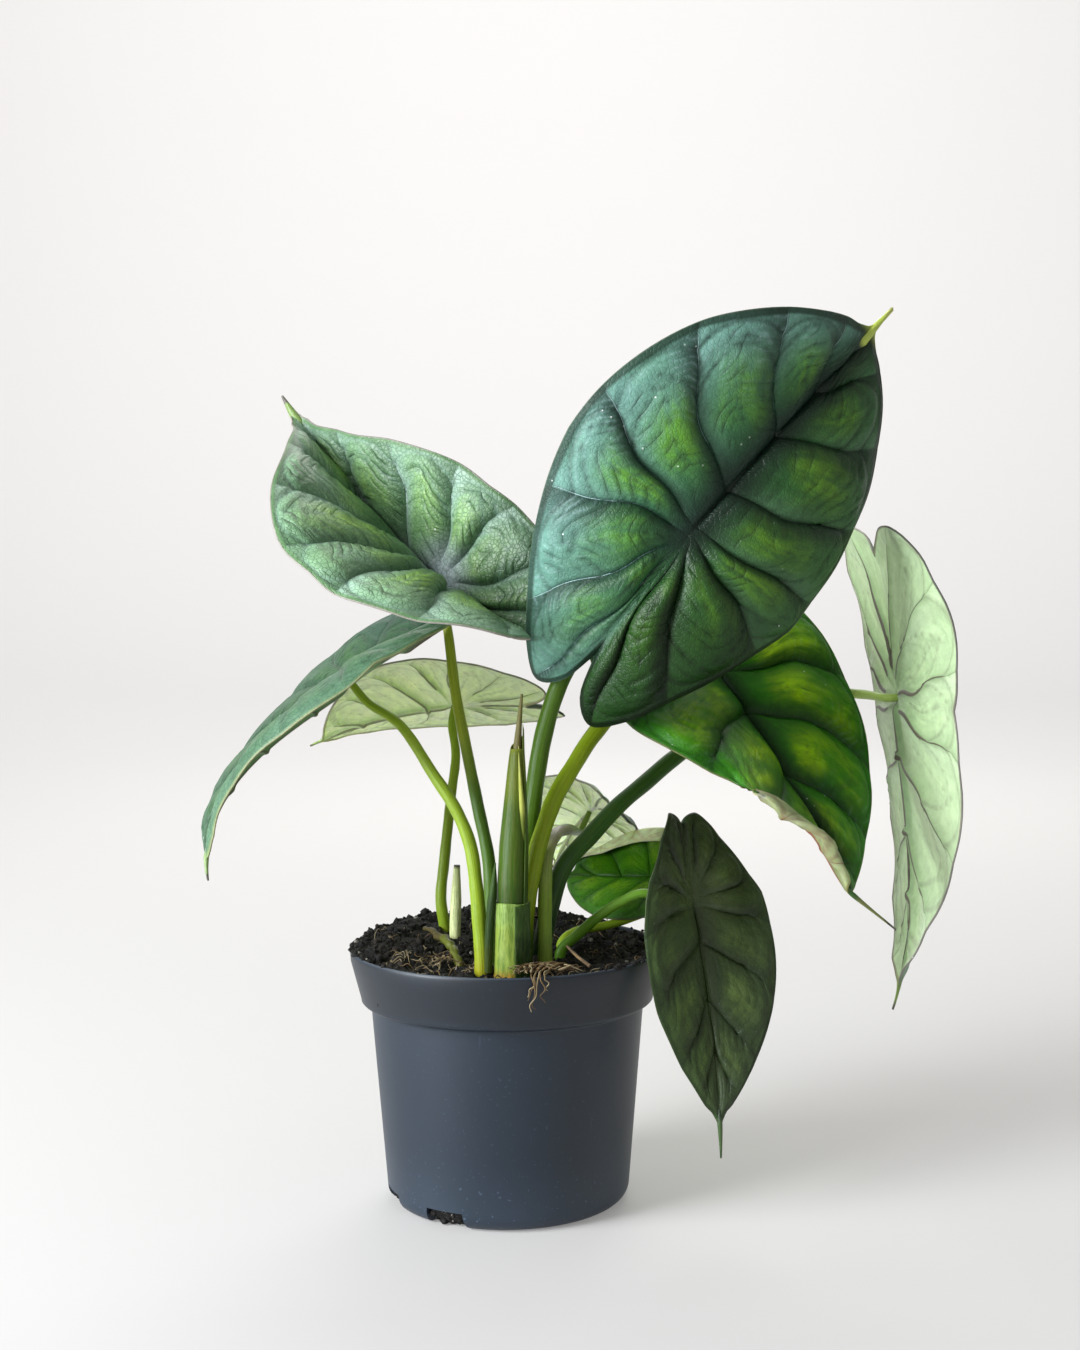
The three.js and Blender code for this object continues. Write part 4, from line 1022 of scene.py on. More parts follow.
rootDepth = 26    # how far a stalk goes on below its path, out of sight in the soil


# points along the same centripetal curve as the solid's, evenly spaced
def smoothPath(path, steps):
    pts = [np.array(p, dtype=float) for p in path]
    fine = []
    for i in range(len(pts) - 1):
        p1, p2 = pts[i], pts[i + 1]
        p0 = pts[i - 1] if i > 0 else 2 * p1 - p2
        p3 = pts[i + 2] if i + 2 < len(pts) else 2 * p2 - p1
        d0, d1, d2 = (max(np.linalg.norm(b - a)**0.5, 1e-4) for a, b in ((p0, p1), (p1, p2), (p2, p3)))
        t1 = ((p1 - p0) / d0 - (p2 - p0) / (d0 + d1) + (p2 - p1) / d1) * d1
        t2 = ((p2 - p1) / d1 - (p3 - p1) / (d1 + d2) + (p3 - p2) / d2) * d1
        for k in range(24):
            f = k / 24
            fine.append((2 * f**3 - 3 * f**2 + 1) * p1 + (f**3 - 2 * f**2 + f) * t1
                        + (3 * f**2 - 2 * f**3) * p2 + (f**3 - f**2) * t2)
    fine.append(pts[-1])
    fine = np.array(fine)
    travel = np.concatenate([[0], np.cumsum(np.linalg.norm(np.diff(fine, axis=0), axis=1))])
    at = np.linspace(0, travel[-1], steps + 1)
    return np.stack([np.interp(at, travel, fine[:, k]) for k in range(3)], -1)


# a geometry node tree that sweeps a round section along a curve
def makeSweepTree():
    tree, given, out = newGroup("sweepStalk", "GeometryNodeTree", {
        "Geometry": "Geometry", "Sides": "Int", "Skin": "Material"}, {"Geometry": "Geometry"})

    def keep(geometry, name):
        part = addNode(tree, "GeometryNodeSplineParameter").outputs["Factor"]
        inputs = {"Name": name, "Geometry": geometry, "Value": part}
        return addNode(tree, "GeometryNodeStoreNamedAttribute", inputs, data_type="FLOAT").outputs["Geometry"]

    ring = addNode(tree, "GeometryNodeCurvePrimitiveCircle", {"Radius": 1.0, "Resolution": given["Sides"]})
    sweep = addNode(tree, "GeometryNodeCurveToMesh", {
        "Curve": keep(given["Geometry"], "along"), "Profile Curve": keep(ring.outputs["Curve"], "around"),
        "Scale": addNode(tree, "GeometryNodeInputRadius").outputs[0], "Fill Caps": True})
    smooth = addNode(tree, "GeometryNodeSetShadeSmooth", {"Geometry": sweep.outputs["Mesh"]})
    feed(out["Geometry"], paintWhole(tree, smooth.outputs["Geometry"], given["Skin"]))
    return tree


# ends a geometry node tree with real geometry in one material
def paintWhole(tree, geometry, skin):
    whole = addNode(tree, "GeometryNodeRealizeInstances", {"Geometry": geometry})
    inputs = {"Geometry": whole.outputs["Geometry"], "Material": skin}
    return addNode(tree, "GeometryNodeSetMaterial", inputs).outputs["Geometry"]


sweepTree = makeSweepTree()


# a geometry nodes modifier, with its inputs set by their identifiers
def addModifier(source, tree, inputs):
    modifier = source.modifiers.new(tree.name, "NODES")
    modifier.node_group = tree
    for item in tree.interface.items_tree:
        if item.item_type == "SOCKET" and item.in_out == "INPUT" and item.name in inputs:
            modifier[item.identifier] = inputs[item.name]


# turns an object with its modifiers into a plain mesh piece
def bakeObject(source, name):
    bpy.context.view_layer.update()
    evaluated = source.evaluated_get(bpy.context.evaluated_depsgraph_get())
    mesh = bpy.data.meshes.new_from_object(evaluated)
    mesh.name = name
    bpy.data.objects.remove(source)
    return addObject(name, mesh)


# tubes along one or more paths, in millimetres, each with its radius at every point
def sweptPiece(name, paths, radii, sides, material):
    data = bpy.data.curves.new(name, "CURVE")
    data.dimensions = "3D"
    for path, radius in zip(paths, radii):
        spline = data.splines.new("POLY")
        spline.points.add(len(path) - 1)
        for point, place, r in zip(spline.points, path, radius):
            point.co = (*(np.asarray(place) * mm), 1)
            point.radius = r * mm
    source = addObject(name + "Path", data)
    addModifier(source, sweepTree, {"Sides": sides, "Skin": material})
    return bakeObject(source, name)


# from the soil along the chosen points, and square to the blade at its joint
def stalkPath(name):
    stalk, leaf = stalks[name], leaves[name]
    face = leafAxes(leaf)[2]
    jointPaleLight = np.array(leaf["place"], dtype=float)
    x, y, z = stalk["path"][0]
    return [(x, y, z - rootDepth)] + stalk["path"] + [jointPaleLight - face * stalk.get("lead", 9), jointPaleLight - face * 0.3]


def makeStalk(name):
    stalk = stalks[name]
    steps = 90
    path = smoothPath(stalkPath(name), steps)
    t = np.linspace(0, 1, steps + 1)
    radius = np.interp(t, [0, 0.66, 1], stalk["radii"])
    radius = radius * (1 + 0.02 * np.sin(t * 41) + 0.015 * np.sin(t * 97 + 1))
    material = groupMaterial(f"{name}Stalk", stalkSkin, stalk["skin"], {"Specular IOR Level": 0.25},
                             bumpDistance=0.3 * mm)
    piece = sweptPiece(f"petiole_{name}", [path], [radius], 20, material)
    finishPiece(piece, stalk["slot"], f"stalk_{name}")


# the fleshy drip tip that the midrib ends in
def makeTip(name, leaf):
    steps = 40
    y = np.linspace(leaf["tipFrom"], 1.085, steps) * leaf["length"]
    local = bendPlace(leaf, 1, np.zeros(steps), y, np.zeros(steps))
    right, tip, face = leafAxes(leaf)
    path = np.array(leaf["place"]) + local[:, 0:1] * right + local[:, 1:2] * tip + local[:, 2:3] * face
    radius = np.interp(np.linspace(0, 1, steps), [0, 0.35, 0.65, 1], leaf["tip"])
    upper = leaf["upper"]
    colours = greenStalk | {
        "Foot": upper["Rim"], "Middle": upper["Tip"], "Top": upper["Tip"], "Streak": upper["Rim"],
        "End": upper["Tip End"], "Foot End": 0.3, "Streak Amount": 0.3, "End Start": 0.8}
    skin = groupMaterial(f"{name}Tip", stalkSkin, colours, bumpDistance=0.3 * mm)
    piece = sweptPiece(f"tip_{name}", [path], [radius], 14, skin)
    finishPiece(piece, leaf["slot"])


for stalkName in stalks:
    makeStalk(stalkName)
for leafName, leafPlan in leaves.items():
    if leafPlan["tip"]:
        makeTip(leafName, leafPlan)
print("stalks and drip tips")

# the rolled sheath of the next leaf and the cut sheath round its foot
shoot = {
    "path": [(1.8, -37, 84), (1.8, -37, 98), (1.9, -36.2, 119), (2, -36, 125.3), (2.6, -34.4, 140),
             (3.4, -32.6, 157), (4.1, -31, 173.7), (5.3, -30, 187.2), (6.1, -29, 194.8)],
    "foot": 84, "footSwell": 3, "swellTop": 120, "collarTop": 119.6, "collarRadius": 6.1, "collarWall": 0.7,
    "wrapRadius": 6.5, "wrapFrom": -82, "wrapTo": 116, "wrapWall": 0.6, "sheathFoot": 96, "sheathWall": 0.55,
    "sheathHeights": [84, 119, 125, 141, 155, 168, 178, 186],
    "sheathRadii": [5.0, 5.5, 5.6, 5.3, 4.3, 3.3, 2.3, 1.5],
    "flapAngle": -40, "flapTop": 184, "flapDip": 9,
    "flap": [(6.2, -37.0, 140), (6.0, -36.6, 150), (5.4, -35.4, 160), (4.9, -34.0, 170), (4.7, -32.8, 176)],
    "pointHeights": [110, 141, 155, 168, 182, 195], "pointRadii": [4, 3.9, 2.8, 1.9, 1.15, 0.45],
}
shootColours = {
    "collar": {"Foot": (150, 104, 34), "Middle": (122, 140, 58),
               "Top": (124, 148, 76), "Streak": (72, 100, 30), "Foot End": 0.36,
               "Top Start": 0.7, "Streak Amount": 0.75},
    "wrap": {"Foot": (46, 58, 16), "Middle": (28, 52, 14), "Top": (44, 72, 22),
             "Streak": (78, 96, 46), "Streak Amount": 0.45},
    "sheath": {"Foot": (40, 66, 12), "Middle": (56, 82, 14), "Top": (84, 98, 22),
               "Streak": (84, 84, 40), "End": (128, 136, 56), "Foot End": 0.5,
               "Top Start": 0.7, "Streak Amount": 0.35, "End Start": 0.97},
    "flap": {"Foot": (84, 98, 26), "Middle": (160, 166, 74),
             "Top": (176, 180, 96), "Streak": (120, 128, 52), "Foot End": 0.4, "Streak Amount": 0.3},
    "point": {"Foot": (60, 86, 18), "Middle": (66, 86, 22), "Top": (92, 88, 44),
              "Streak": (128, 116, 84), "Streak Amount": 0.4},
    "stub": {"Foot": (226, 222, 176), "Middle": (232, 238, 176),
             "Top": (224, 230, 164), "Streak": (134, 152, 84),
             "End": (40, 34, 26), "Streak Amount": 0.6, "End Start": 0.95},
    "withered": {"Foot": (128, 128, 36), "Middle": (92, 100, 32),
                 "Top": (76, 68, 36), "Streak": (58, 52, 28), "Streak Amount": 0.7},
}
# three short remains of older leaves
remains = {
    "stub": {
        "path": [(-20.6, 19.6, 84), (-20.5, 20, 98), (-20, 20.6, 111), (-19.5, 21, 124.4)],
        "radii": (2.2, 2.2, 1.2), "slot": "stub", "colours": "stub", "nodes": ["cut_stub"],
    },
    "withered": {
        "path": [(-17, -26.5, 84), (-18, -24, 94.5), (-21, -16, 99.6), (-26, -6, 101.5), (-31.5, 3, 103)],
        "radii": (1.5, 1.6, 0.7), "slot": "old_stalk", "colours": "withered", "nodes": ["old_stalk"],
    },
    "sliver": {
        "path": [(-6.9, -37.6, 94), (-6.5, -37.8, 108), (-5.4, -37.8, 121), (-4, -37.2, 134)],
        "radii": (1.5, 1.6, 0.25), "slot": "shoot", "colours": "wrap", "nodes": [],
    },
}


def shootCentre(z):
    heights = [p[2] for p in shoot["path"]]
    return np.stack([np.interp(z, heights, [p[0] for p in shoot["path"]]),
                     np.interp(z, heights, [p[1] for p in shoot["path"]]), z], -1)


# a thin leaf sheath round the shoot: outer and inner wall, closed at its foot and edges
def sheathPiece(name, material, angles, footZ, topAt, radiusAt, wall, steps, whole):
    outer, inner, along, around = [], [], [], []
    for i in range(steps + 1):
        t = i / steps
        for a in angles:
            z = footZ + (topAt(a) - footZ) * t
            centre = shootCentre(np.float64(z))
            r = radiusAt(z, a)
            way = np.array([math.cos(a), math.sin(a), 0.0])
            outer.append(centre + way * r)
            inner.append(centre + way * (r - wall * (1 - 0.6 * t)))
            along.append(t)
            around.append((a / math.tau) % 1)
    n = len(angles)
    points = outer + inner
    count = len(outer)
    faces = []
    spans = n if whole else n - 1
    for i in range(steps):
        for j in range(spans):
            k = (j + 1) % n
            a, b, c, d = i * n + j, i * n + k, (i + 1) * n + k, (i + 1) * n + j
            faces += [(a, b, c, d), (d + count, c + count, b + count, a + count)]
    for j in range(spans):
        k = (j + 1) % n
        top = steps * n
        faces += [(top + j, top + k, top + k + count, top + j + count), (k, j, j + count, k + count)]
    if not whole:
        for i in range(steps):
            a, b = i * n, (i + 1) * n
            c, d = a + n - 1, b + n - 1
            faces += [(a, b, b + count, a + count), (d, c, c + count, d + count)]
    values = {"along": along + along, "around": around + around}
    return meshPiece(name, points, faces, [material], values=values)


# five pieces of the shoot, each in its own colours, and the three remains
def makeShoot():
    def skin(name):
        return groupMaterial(f"{name}Skin", stalkSkin, greenStalk | shootColours[name],
                             {"Specular IOR Level": 0.2}, 0.6, 0.35 * mm)

    def footSwell(z):
        return shoot["footSwell"] * (1 - z / shoot["swellTop"])

    def collarTop(a):
        return shoot["collarTop"] + 0.25 * math.sin(3 * a + 1)

    def collarRadius(z, a):
        uneven = 1 + 0.03 * math.sin(7 * a) * math.sin(z * 0.11 + a)
        return shoot["collarRadius"] * uneven + footSwell(z)

    ring = [math.tau * j / 56 for j in range(56)]
    collar = sheathPiece("shoot_collar", skin("collar"), ring, shoot["foot"], collarTop, collarRadius,
                         shoot["collarWall"], 26, True)
    finishPiece(collar, "shoot", "main_shoot")
    start, end = math.radians(shoot["wrapFrom"]), math.radians(shoot["wrapTo"])
    arc = [start + (end - start) * j / 40 for j in range(41)]

    # torn at its top and lifted along its first edge
    def wrapTop(a):
        return shoot["collarTop"] - 0.3 - 1.2 * abs(math.sin(9 * a)) * math.exp(-(a - start) * 4)

    def wrapRadius(z, a):
        lifted = 0.35 * math.exp(-abs(a - start) * 6)
        return shoot["wrapRadius"] + footSwell(z) + lifted + 0.1 * math.sin(z * 0.5 + 4 * a)

    wrap = sheathPiece("shoot_wrap", skin("wrap"), arc, shoot["foot"], wrapTop, wrapRadius,
                       shoot["wrapWall"], 26, False)
    finishPiece(wrap, "shoot")
    flap = math.radians(shoot["flapAngle"])
    turns = [flap + math.tau * 1.06 * j / 60 for j in range(61)]

    def sheathTop(a):
        turned = (a - flap) / math.tau
        return shoot["flapTop"] - shoot["flapDip"] * min(1.0, turned * 1.6) ** 0.7

    def sheathRadius(z, a):
        radius = np.interp(z, shoot["sheathHeights"], shoot["sheathRadii"])
        return radius * (1.06 - 0.14 * (a - flap) / math.tau)

    sheath = sheathPiece("shoot_sheath", skin("sheath"), turns, shoot["sheathFoot"], sheathTop, sheathRadius,
                         shoot["sheathWall"], 40, False)
    finishPiece(sheath, "shoot")
    edgePath = smoothPath(shoot["flap"], 30)
    t = np.linspace(0, 1, 31)
    edgeRadius = 0.15 + 1.0 * np.sin(np.pi * t**0.7) ** 1.5 * (1 - 0.3 * t)
    finishPiece(sweptPiece("shoot_flap", [edgePath], [edgeRadius], 14, skin("flap")), "shoot")
    path = shootCentre(np.linspace(100, 194.8, 90))
    radius = np.interp(path[:, 2], shoot["pointHeights"], shoot["pointRadii"])
    finishPiece(sweptPiece("shoot_point", [path], [radius], 24, skin("point")), "shoot")
    t = np.linspace(0, 1, 45)
    for name, plan in remains.items():
        path = smoothPath(plan["path"], len(t) - 1)
        radius = np.interp(t, [0, 0.66, 1], plan["radii"])
        if name == "withered":
            wrinkles = np.stack([0.5 * np.sin(t * 31), 0.5 * np.cos(t * 27), 0.35 * np.sin(t * 23)], -1)
            path = path + wrinkles * t[:, None]
            radius = radius * (1 + 0.16 * np.sin(t * 52) + 0.1 * np.sin(t * 91))
        piece = sweptPiece(f"plant_{name}", [path], [radius], 18, skin(plan["colours"]))
        finishPiece(piece, plan["slot"], *plan["nodes"])


makeShoot()
print("shoot, stub and old stalk")

# slots in degrees round the upright axis, all else in millimetres
pot = {
    "height": 96.5, "rim": 60, "collar": 21, "collarFoot": 56, "bodyTop": 52.2, "foot": 46.5, "fillet": 6,
    "wall": 1.3, "floor": 1.6, "slotTurns": (108, 149, 288, 329), "slotWidth": 17, "slotHeight": 6.6,
    "slotStart": 37, "slotEnd": 54, "slotNarrowing": 0.9, "sides": 176, "crispAngle": 38,
}
collarFoot = pot["height"] - pot["collar"]


# how far the pot's inner wall is from the middle
def innerRadius(z):
    def flared(height):
        flare = (pot["rim"] - pot["collarFoot"]) * (height - collarFoot) / pot["collar"]
        return pot["collarFoot"] - pot["wall"] + flare

    if z > collarFoot + 3:
        return flared(z)
    low = pot["bodyTop"] - pot["wall"]
    if z > collarFoot - 1:
        return low + (flared(collarFoot + 3) - low) * (z - collarFoot + 1) / 4
    taper = max(0, z - pot["fillet"]) / (collarFoot - pot["fillet"])
    return pot["foot"] - pot["wall"] + (pot["bodyTop"] - pot["foot"]) * taper


def makePlastic():
    tree, given, out = newSkin("pottedPlastic", ("Base", "Wear And Highlight"), ("Gloss",))
    place = objectPlace(tree)
    stretch = addNode(tree, "ShaderNodeMapping", {"Scale": (1, 1, 0.06), "Vector": place})
    drawn = noiseValue(tree, 380.0, 2.0, stretch.outputs[0], 0.7)
    patch, grain, dust = noiseValue(tree, 24.0), noiseValue(tree, 2400.0, 1.0), noiseValue(tree, 900.0, 0.0)
    height = addNode(tree, "ShaderNodeSeparateXYZ", {0: place}).outputs[2]
    scratch = times(stepUp(drawn, 0.68, 0.78), stepUp(patch, 0.45, 0.65))
    # a lighter top edge of the rim, partly wear and partly a painted highlight
    rim = stepUp(height, 95.7 * mm, 96.4 * mm)
    low = stepDown(height, 0.0, 30 * mm)
    specks = times(stepUp(dust, 0.76, 0.8), timesPlus(low, 0.6, 0.15))
    wearAndHighlight = calc("MAXIMUM", times(scratch, 0.12), times(rim, 0.45))
    wearAndHighlight = calc("MAXIMUM", wearAndHighlight, times(specks, 0.7))
    # lighter in patches towards the bottom
    wearAndHighlight = calc("MAXIMUM", wearAndHighlight, times(times(low, patch), 0.22))
    # painted shade: the collar is darker than the body
    collarShade = timesPlus(stepUp(height, 74 * mm, 80 * mm), -0.5, 1.0)
    colour = mixColour(wearAndHighlight, given["Base"], given["Wear And Highlight"])
    feed(out["Color"], shadeColour(colour, times(timesPlus(patch, 0.16, 0.92), collarShade)))
    feed(out["Roughness"], timesPlus(patch, 0.16, timesPlus(wearAndHighlight, 0.3, given["Gloss"])))
    feed(out["Height"], timesPlus(drawn, 0.6, times(grain, 0.5)))
    return tree


def makePot():
    foot, bodyTop, lower, upper, top = (pot[k] for k in ("foot", "bodyTop", "collarFoot", "rim", "height"))
    bend, floor = pot["fillet"], pot["floor"]
    profile = [(0, 0)]
    profile += [(foot - bend * (1 - math.sin(a)), bend * (1 - math.cos(a)))
                for a in np.radians(np.linspace(0, 90, 9))]
    profile += [(foot + (bodyTop - foot) * t, bend + (collarFoot - bend) * t)
                for t in np.linspace(0.05, 0.985, 12)]
    # the step out to the collar, the collar and its lip
    profile += [(bodyTop, collarFoot - 0.4), (bodyTop + 0.5, collarFoot + 0.25),
                (bodyTop + 2.0, collarFoot + 0.7), (lower - 0.7, collarFoot + 1.1),
                (lower - 0.12, collarFoot + 1.7), (lower, collarFoot + 2.6)]
    profile += [(lower + (upper - lower) * t, collarFoot + 2.6 + 15.2 * t) for t in np.linspace(0.2, 0.95, 5)]
    profile += [(upper - 0.05, top - 1.9), (upper, top - 1.1), (upper - 0.1, top - 0.5),
                (upper - 0.35, top - 0.1), (upper - 0.7, top), (upper - 1.1, top - 0.1),
                (upper - 1.4, top - 0.5)]
    profile += [(innerRadius(z), z) for z in (93, 86, collarFoot + 3.5, collarFoot - 1, 60, 40, 20, bend)]
    profile += [(foot - bend, floor), (0, floor)]
    points, faces = turnedMesh(profile, pot["sides"])
    plastic = groupMaterial("potPlastic", makePlastic(), {
        "Base": (20, 33, 46), "Wear And Highlight": (84, 102, 124), "Gloss": 0.36},
        {"Specular IOR Level": 0.5}, bump=0.25, bumpDistance=0.12 * mm)
    source = meshPiece("potBlank", points, faces, [plastic])
    corners, boxes = [], []
    half, start, end = pot["slotWidth"] / 2, pot["slotStart"], pot["slotEnd"]
    for turn in pot["slotTurns"]:
        c, s = math.cos(math.radians(turn)), math.sin(math.radians(turn))
        base = len(corners)
        for z, narrow in ((-2, 1.0), (pot["slotHeight"], pot["slotNarrowing"])):
            for x, y in ((-half, start), (half, start), (half, end), (-half, end)):
                corners.append((x * narrow * c - y * s, x * narrow * s + y * c, z))
        boxes += [tuple(base + k for k in side) for side in (
            (3, 2, 1, 0), (4, 5, 6, 7), (0, 1, 5, 4), (1, 2, 6, 5), (2, 3, 7, 6), (3, 0, 4, 7))]
    cutter = meshPiece("slotCutter", corners, boxes, [plastic])
    cut = source.modifiers.new("slots", "BOOLEAN")
    cut.operation = "DIFFERENCE"
    cut.solver = "EXACT"
    cut.object = cutter
    piece = bakeObject(source, "pot_body")
    bpy.data.objects.remove(cutter)
    sharpenEdges(piece, pot["crispAngle"])
    finishPiece(piece, "pot", "pot")


# keeps corners crisp on a smooth shaded mesh
def sharpenEdges(piece, degrees):
    work = bmesh.new()
    work.from_mesh(piece.data)
    bmesh.ops.remove_doubles(work, verts=work.verts, dist=1e-6)
    for edge in work.edges:
        if len(edge.link_faces) == 2:
            edge.smooth = edge.calc_face_angle(0) < math.radians(degrees)
    work.to_mesh(piece.data)
    work.free()


makePot()
print("pot")

# the peat's surface rises to the back and the left
soil = {
    "level": 94.8, "riseBack": 0.055, "riseLeft": 0.03, "heap": 2.6, "lump": 1.1, "roughness": 1.5,
    "rings": 46, "sides": 150, "tone": 0.3,
    # how far the peat stays off the pot, and the two rings that bulge into the drain slots
    "rimGap": 1, "wallGap": 0.6, "footGap": 1.5, "floorGap": 0.4, "slotRings": ((43.4, 2.6), (41.6, 0.9)),
}


def soilHeight(x, y):
    lumps = (math.sin(x * 0.31 + y * 0.17 + 1.3) * math.sin(y * 0.29 - x * 0.11 + 0.4)
             + 0.6 * math.sin(x * 0.67 - y * 0.43) * math.sin(y * 0.71 + x * 0.23 + 2)
             + 0.35 * math.sin(x * 1.3 + 0.7) * math.sin(y * 1.17 + 1.9))
    heap = ramp(20, 54, y) + 0.8 * ramp(-25, -54, x) * ramp(-30, 10, y)
    slope = soil["riseBack"] * y - soil["riseLeft"] * x
    return soil["level"] + slope + soil["heap"] * heap + soil["lump"] * lumps


# the same surface with its crumbs and clods
def crumbledHeight(x, y):
    rough = noise.fractal(Vector((x * 0.16, y * 0.16, 3.0)), 0.9, 2.1, 4)
    return soilHeight(x, y) + soil["roughness"] * rough


def makePeat():
    tree, given, out = newSkin("peatSkin", ("Dark", "Brown", "Pale"), ("Pale From",))
    tone = readValue(tree, "tone")
    grains, clods = noiseValue(tree, 620.0, 4.0, None, 0.65), noiseValue(tree, 130.0)
    brown = calc("MAXIMUM", times(stepUp(clods, 0.45, 0.75), 0.55), stepUp(tone, 0.7, 0.86))
    colour = mixColour(brown, given["Dark"], given["Brown"])
    paleTone = times(stepUp(tone, given["Pale From"], calc("ADD", given["Pale From"], 0.03)), 0.85)
    flecks = times(stepUp(noiseValue(tree, 1500.0, 1.0), 0.7, 0.78), 0.35)
    colour = mixColour(calc("MAXIMUM", paleTone, flecks), colour, given["Pale"])
    feed(out["Color"], shadeColour(colour, timesPlus(grains, 0.9, 0.5)))
    feed(out["Roughness"], timesPlus(grains, 0.3, 0.68))
    feed(out["Height"], calc("ADD", grains, clods))
    return tree


peatSkin = makePeat()
peatColours = {"Dark": (16, 15, 14), "Brown": (38, 31, 25),
               "Pale": (150, 146, 138), "Pale From": 0.96}


def makeSoil():
    rim = pot["rim"] - pot["wall"] - soil["rimGap"]
    points, faces, rings = [(0, 0, crumbledHeight(0, 0))], [], []
    sides = soil["sides"]

    def addRing(placeAt):
        rings.append([len(points) + j for j in range(sides)])
        for j in range(sides):
            a = math.tau * j / sides
            points.append(placeAt(math.cos(a), math.sin(a)))

    for i in range(1, soil["rings"]):
        r = rim * i / soil["rings"]
        addRing(lambda c, s: (r * c, r * s, crumbledHeight(r * c, r * s)))

    # peat shows in the drain slots, and stays inside the plastic elsewhere
    def slotNear(c, s):
        way = math.degrees(math.atan2(-c, s)) % 360
        gap = min(abs((way - turn + 180) % 360 - 180) for turn in pot["slotTurns"])
        return 1 - ramp(8.0, 10.0, gap)

    for z in (93.5, collarFoot + 3.5, collarFoot - 1, 40, 14, 11, 9, 7.5, 6, 5, 4):
        r = innerRadius(z) - soil["wallGap"]
        low = (6 - z) * 1.2 if z < 6 else 0

        def wallPlace(c, s):
            uneven = 0.7 * abs(noise.noise(Vector((c * 14, s * 14, z * 0.4)))) if z < 15 else 0
            away = r - uneven - low * (1 - slotNear(c, s))
            return (away * c, away * s, z)

        addRing(wallPlace)
    foot, floor = pot["foot"] - pot["fillet"] - soil["footGap"], pot["floor"] + soil["floorGap"]
    for slotRadius, slotZ in soil["slotRings"]:
        def slotPlace(c, s):
            near = slotNear(c, s)
            away = foot + (slotRadius - 0.8 * abs(noise.noise(Vector((c * 20, s * 20, slotZ)))) - foot) * near
            return (away * c, away * s, floor + (slotZ - floor) * near)

        addRing(slotPlace)
    addRing(lambda c, s: (foot * c, foot * s, floor))
    points.append((0, 0, floor))
    last = len(points) - 1
    for j in range(sides):
        k = (j + 1) % sides
        faces.append((0, rings[0][j], rings[0][k]))
        for upper, lower in zip(rings, rings[1:]):
            faces.append((upper[j], lower[j], lower[k], upper[k]))
        faces.append((rings[-1][j], last, rings[-1][k]))
    material = groupMaterial("peatBed", peatSkin, peatColours, {"Specular IOR Level": 0.25}, 0.9, 0.9 * mm)
    piece = meshPiece("soil_bed", points, faces, [material], values={"tone": [soil["tone"]] * len(points)})
    finishPiece(piece, "soil", "soil")
    return piece


# a lumpy crumb with a few dozen faces
def crumbShape(name, seed):
    rng = random.Random(seed)
    profile = [(0, -1), (0.75, -0.62), (1.0, 0.0), (0.72, 0.64), (0, 1)]
    points, faces = turnedMesh(profile, 6)
    points = [tuple(v * rng.uniform(0.68, 1.28) for v in p) for p in points]
    return meshPiece(name, points, faces, [])


def makeScatterTree(shapes):
    tree, given, out = newGroup("scatterCrumbs", "GeometryNodeTree", {
        "Geometry": "Geometry", "Density": "Float", "Smallest": "Float", "Largest": "Float", "Seed": "Int",
        "Skin": "Material"}, {"Geometry": "Geometry"})

    def randomValue(kind, low, high, seed):
        node = addNode(tree, "FunctionNodeRandomValue", {"Seed": seed}, data_type=kind)
        for label, value in (("Min", low), ("Max", high)):
            feed(next(s for s in node.inputs if s.name == label and s.enabled), value)
        return next(s for s in node.outputs if s.enabled)

    amount = addNode(tree, "GeometryNodeInputNamedAttribute", {"Name": "crumbs"}).outputs["Attribute"]
    spread = addNode(tree, "GeometryNodeDistributePointsOnFaces", {
        "Mesh": given["Geometry"], "Density": times(given["Density"], amount), "Seed": given["Seed"]})
    join = addNode(tree, "GeometryNodeJoinGeometry")
    for shape in shapes:
        info = addNode(tree, "GeometryNodeObjectInfo", {"Object": shape, "As Instance": True})
        feed(join.inputs[0], info.outputs["Geometry"])
    # a power of the random number makes small crumbs far more common than large ones
    size = addNode(tree, "ShaderNodeMapRange", {
        "Value": calc("POWER", randomValue("FLOAT", 0.0, 1.0, 7), 2.6), "To Min": given["Smallest"],
        "To Max": given["Largest"]})
    place = addNode(tree, "GeometryNodeInstanceOnPoints", {
        "Points": spread.outputs["Points"], "Instance": join.outputs[0], "Pick Instance": True,
        "Instance Index": randomValue("INT", 0, len(shapes) - 1, 3),
        "Rotation": randomValue("FLOAT_VECTOR", (0, 0, 0), (6.28, 6.28, 6.28), 5), "Scale": size.outputs[0]})
    tone = addNode(tree, "GeometryNodeStoreNamedAttribute", {
        "Geometry": place.outputs["Instances"], "Name": "tone", "Value": randomValue("FLOAT", 0.0, 1.0, 9)},
        data_type="FLOAT", domain="INSTANCE")
    feed(out["Geometry"], paintWhole(tree, tone.outputs["Geometry"], given["Skin"]))
    return tree


crumbLayers = {
    "fine": {"Density": 190000.0, "Smallest": 0.35, "Largest": 1.1, "Seed": 4},
    "coarse": {"Density": 42000.0, "Smallest": 0.7, "Largest": 2.1, "Seed": 9},
    "rim": {"Density": 900000.0, "Smallest": 0.4, "Largest": 1.5, "Seed": 13},
}


# a narrow ring on the pot's rim, and where crumbs have spilled on it: how many, and between which angles
rimBed = {
    "sides": 120, "edges": ((56.5, 96.2), (59.8, 96.7)), "few": 0.03,
    "spills": ((1.0, 158, 176, 196, 214), (0.35, 300, 318, 340, 352)),
}


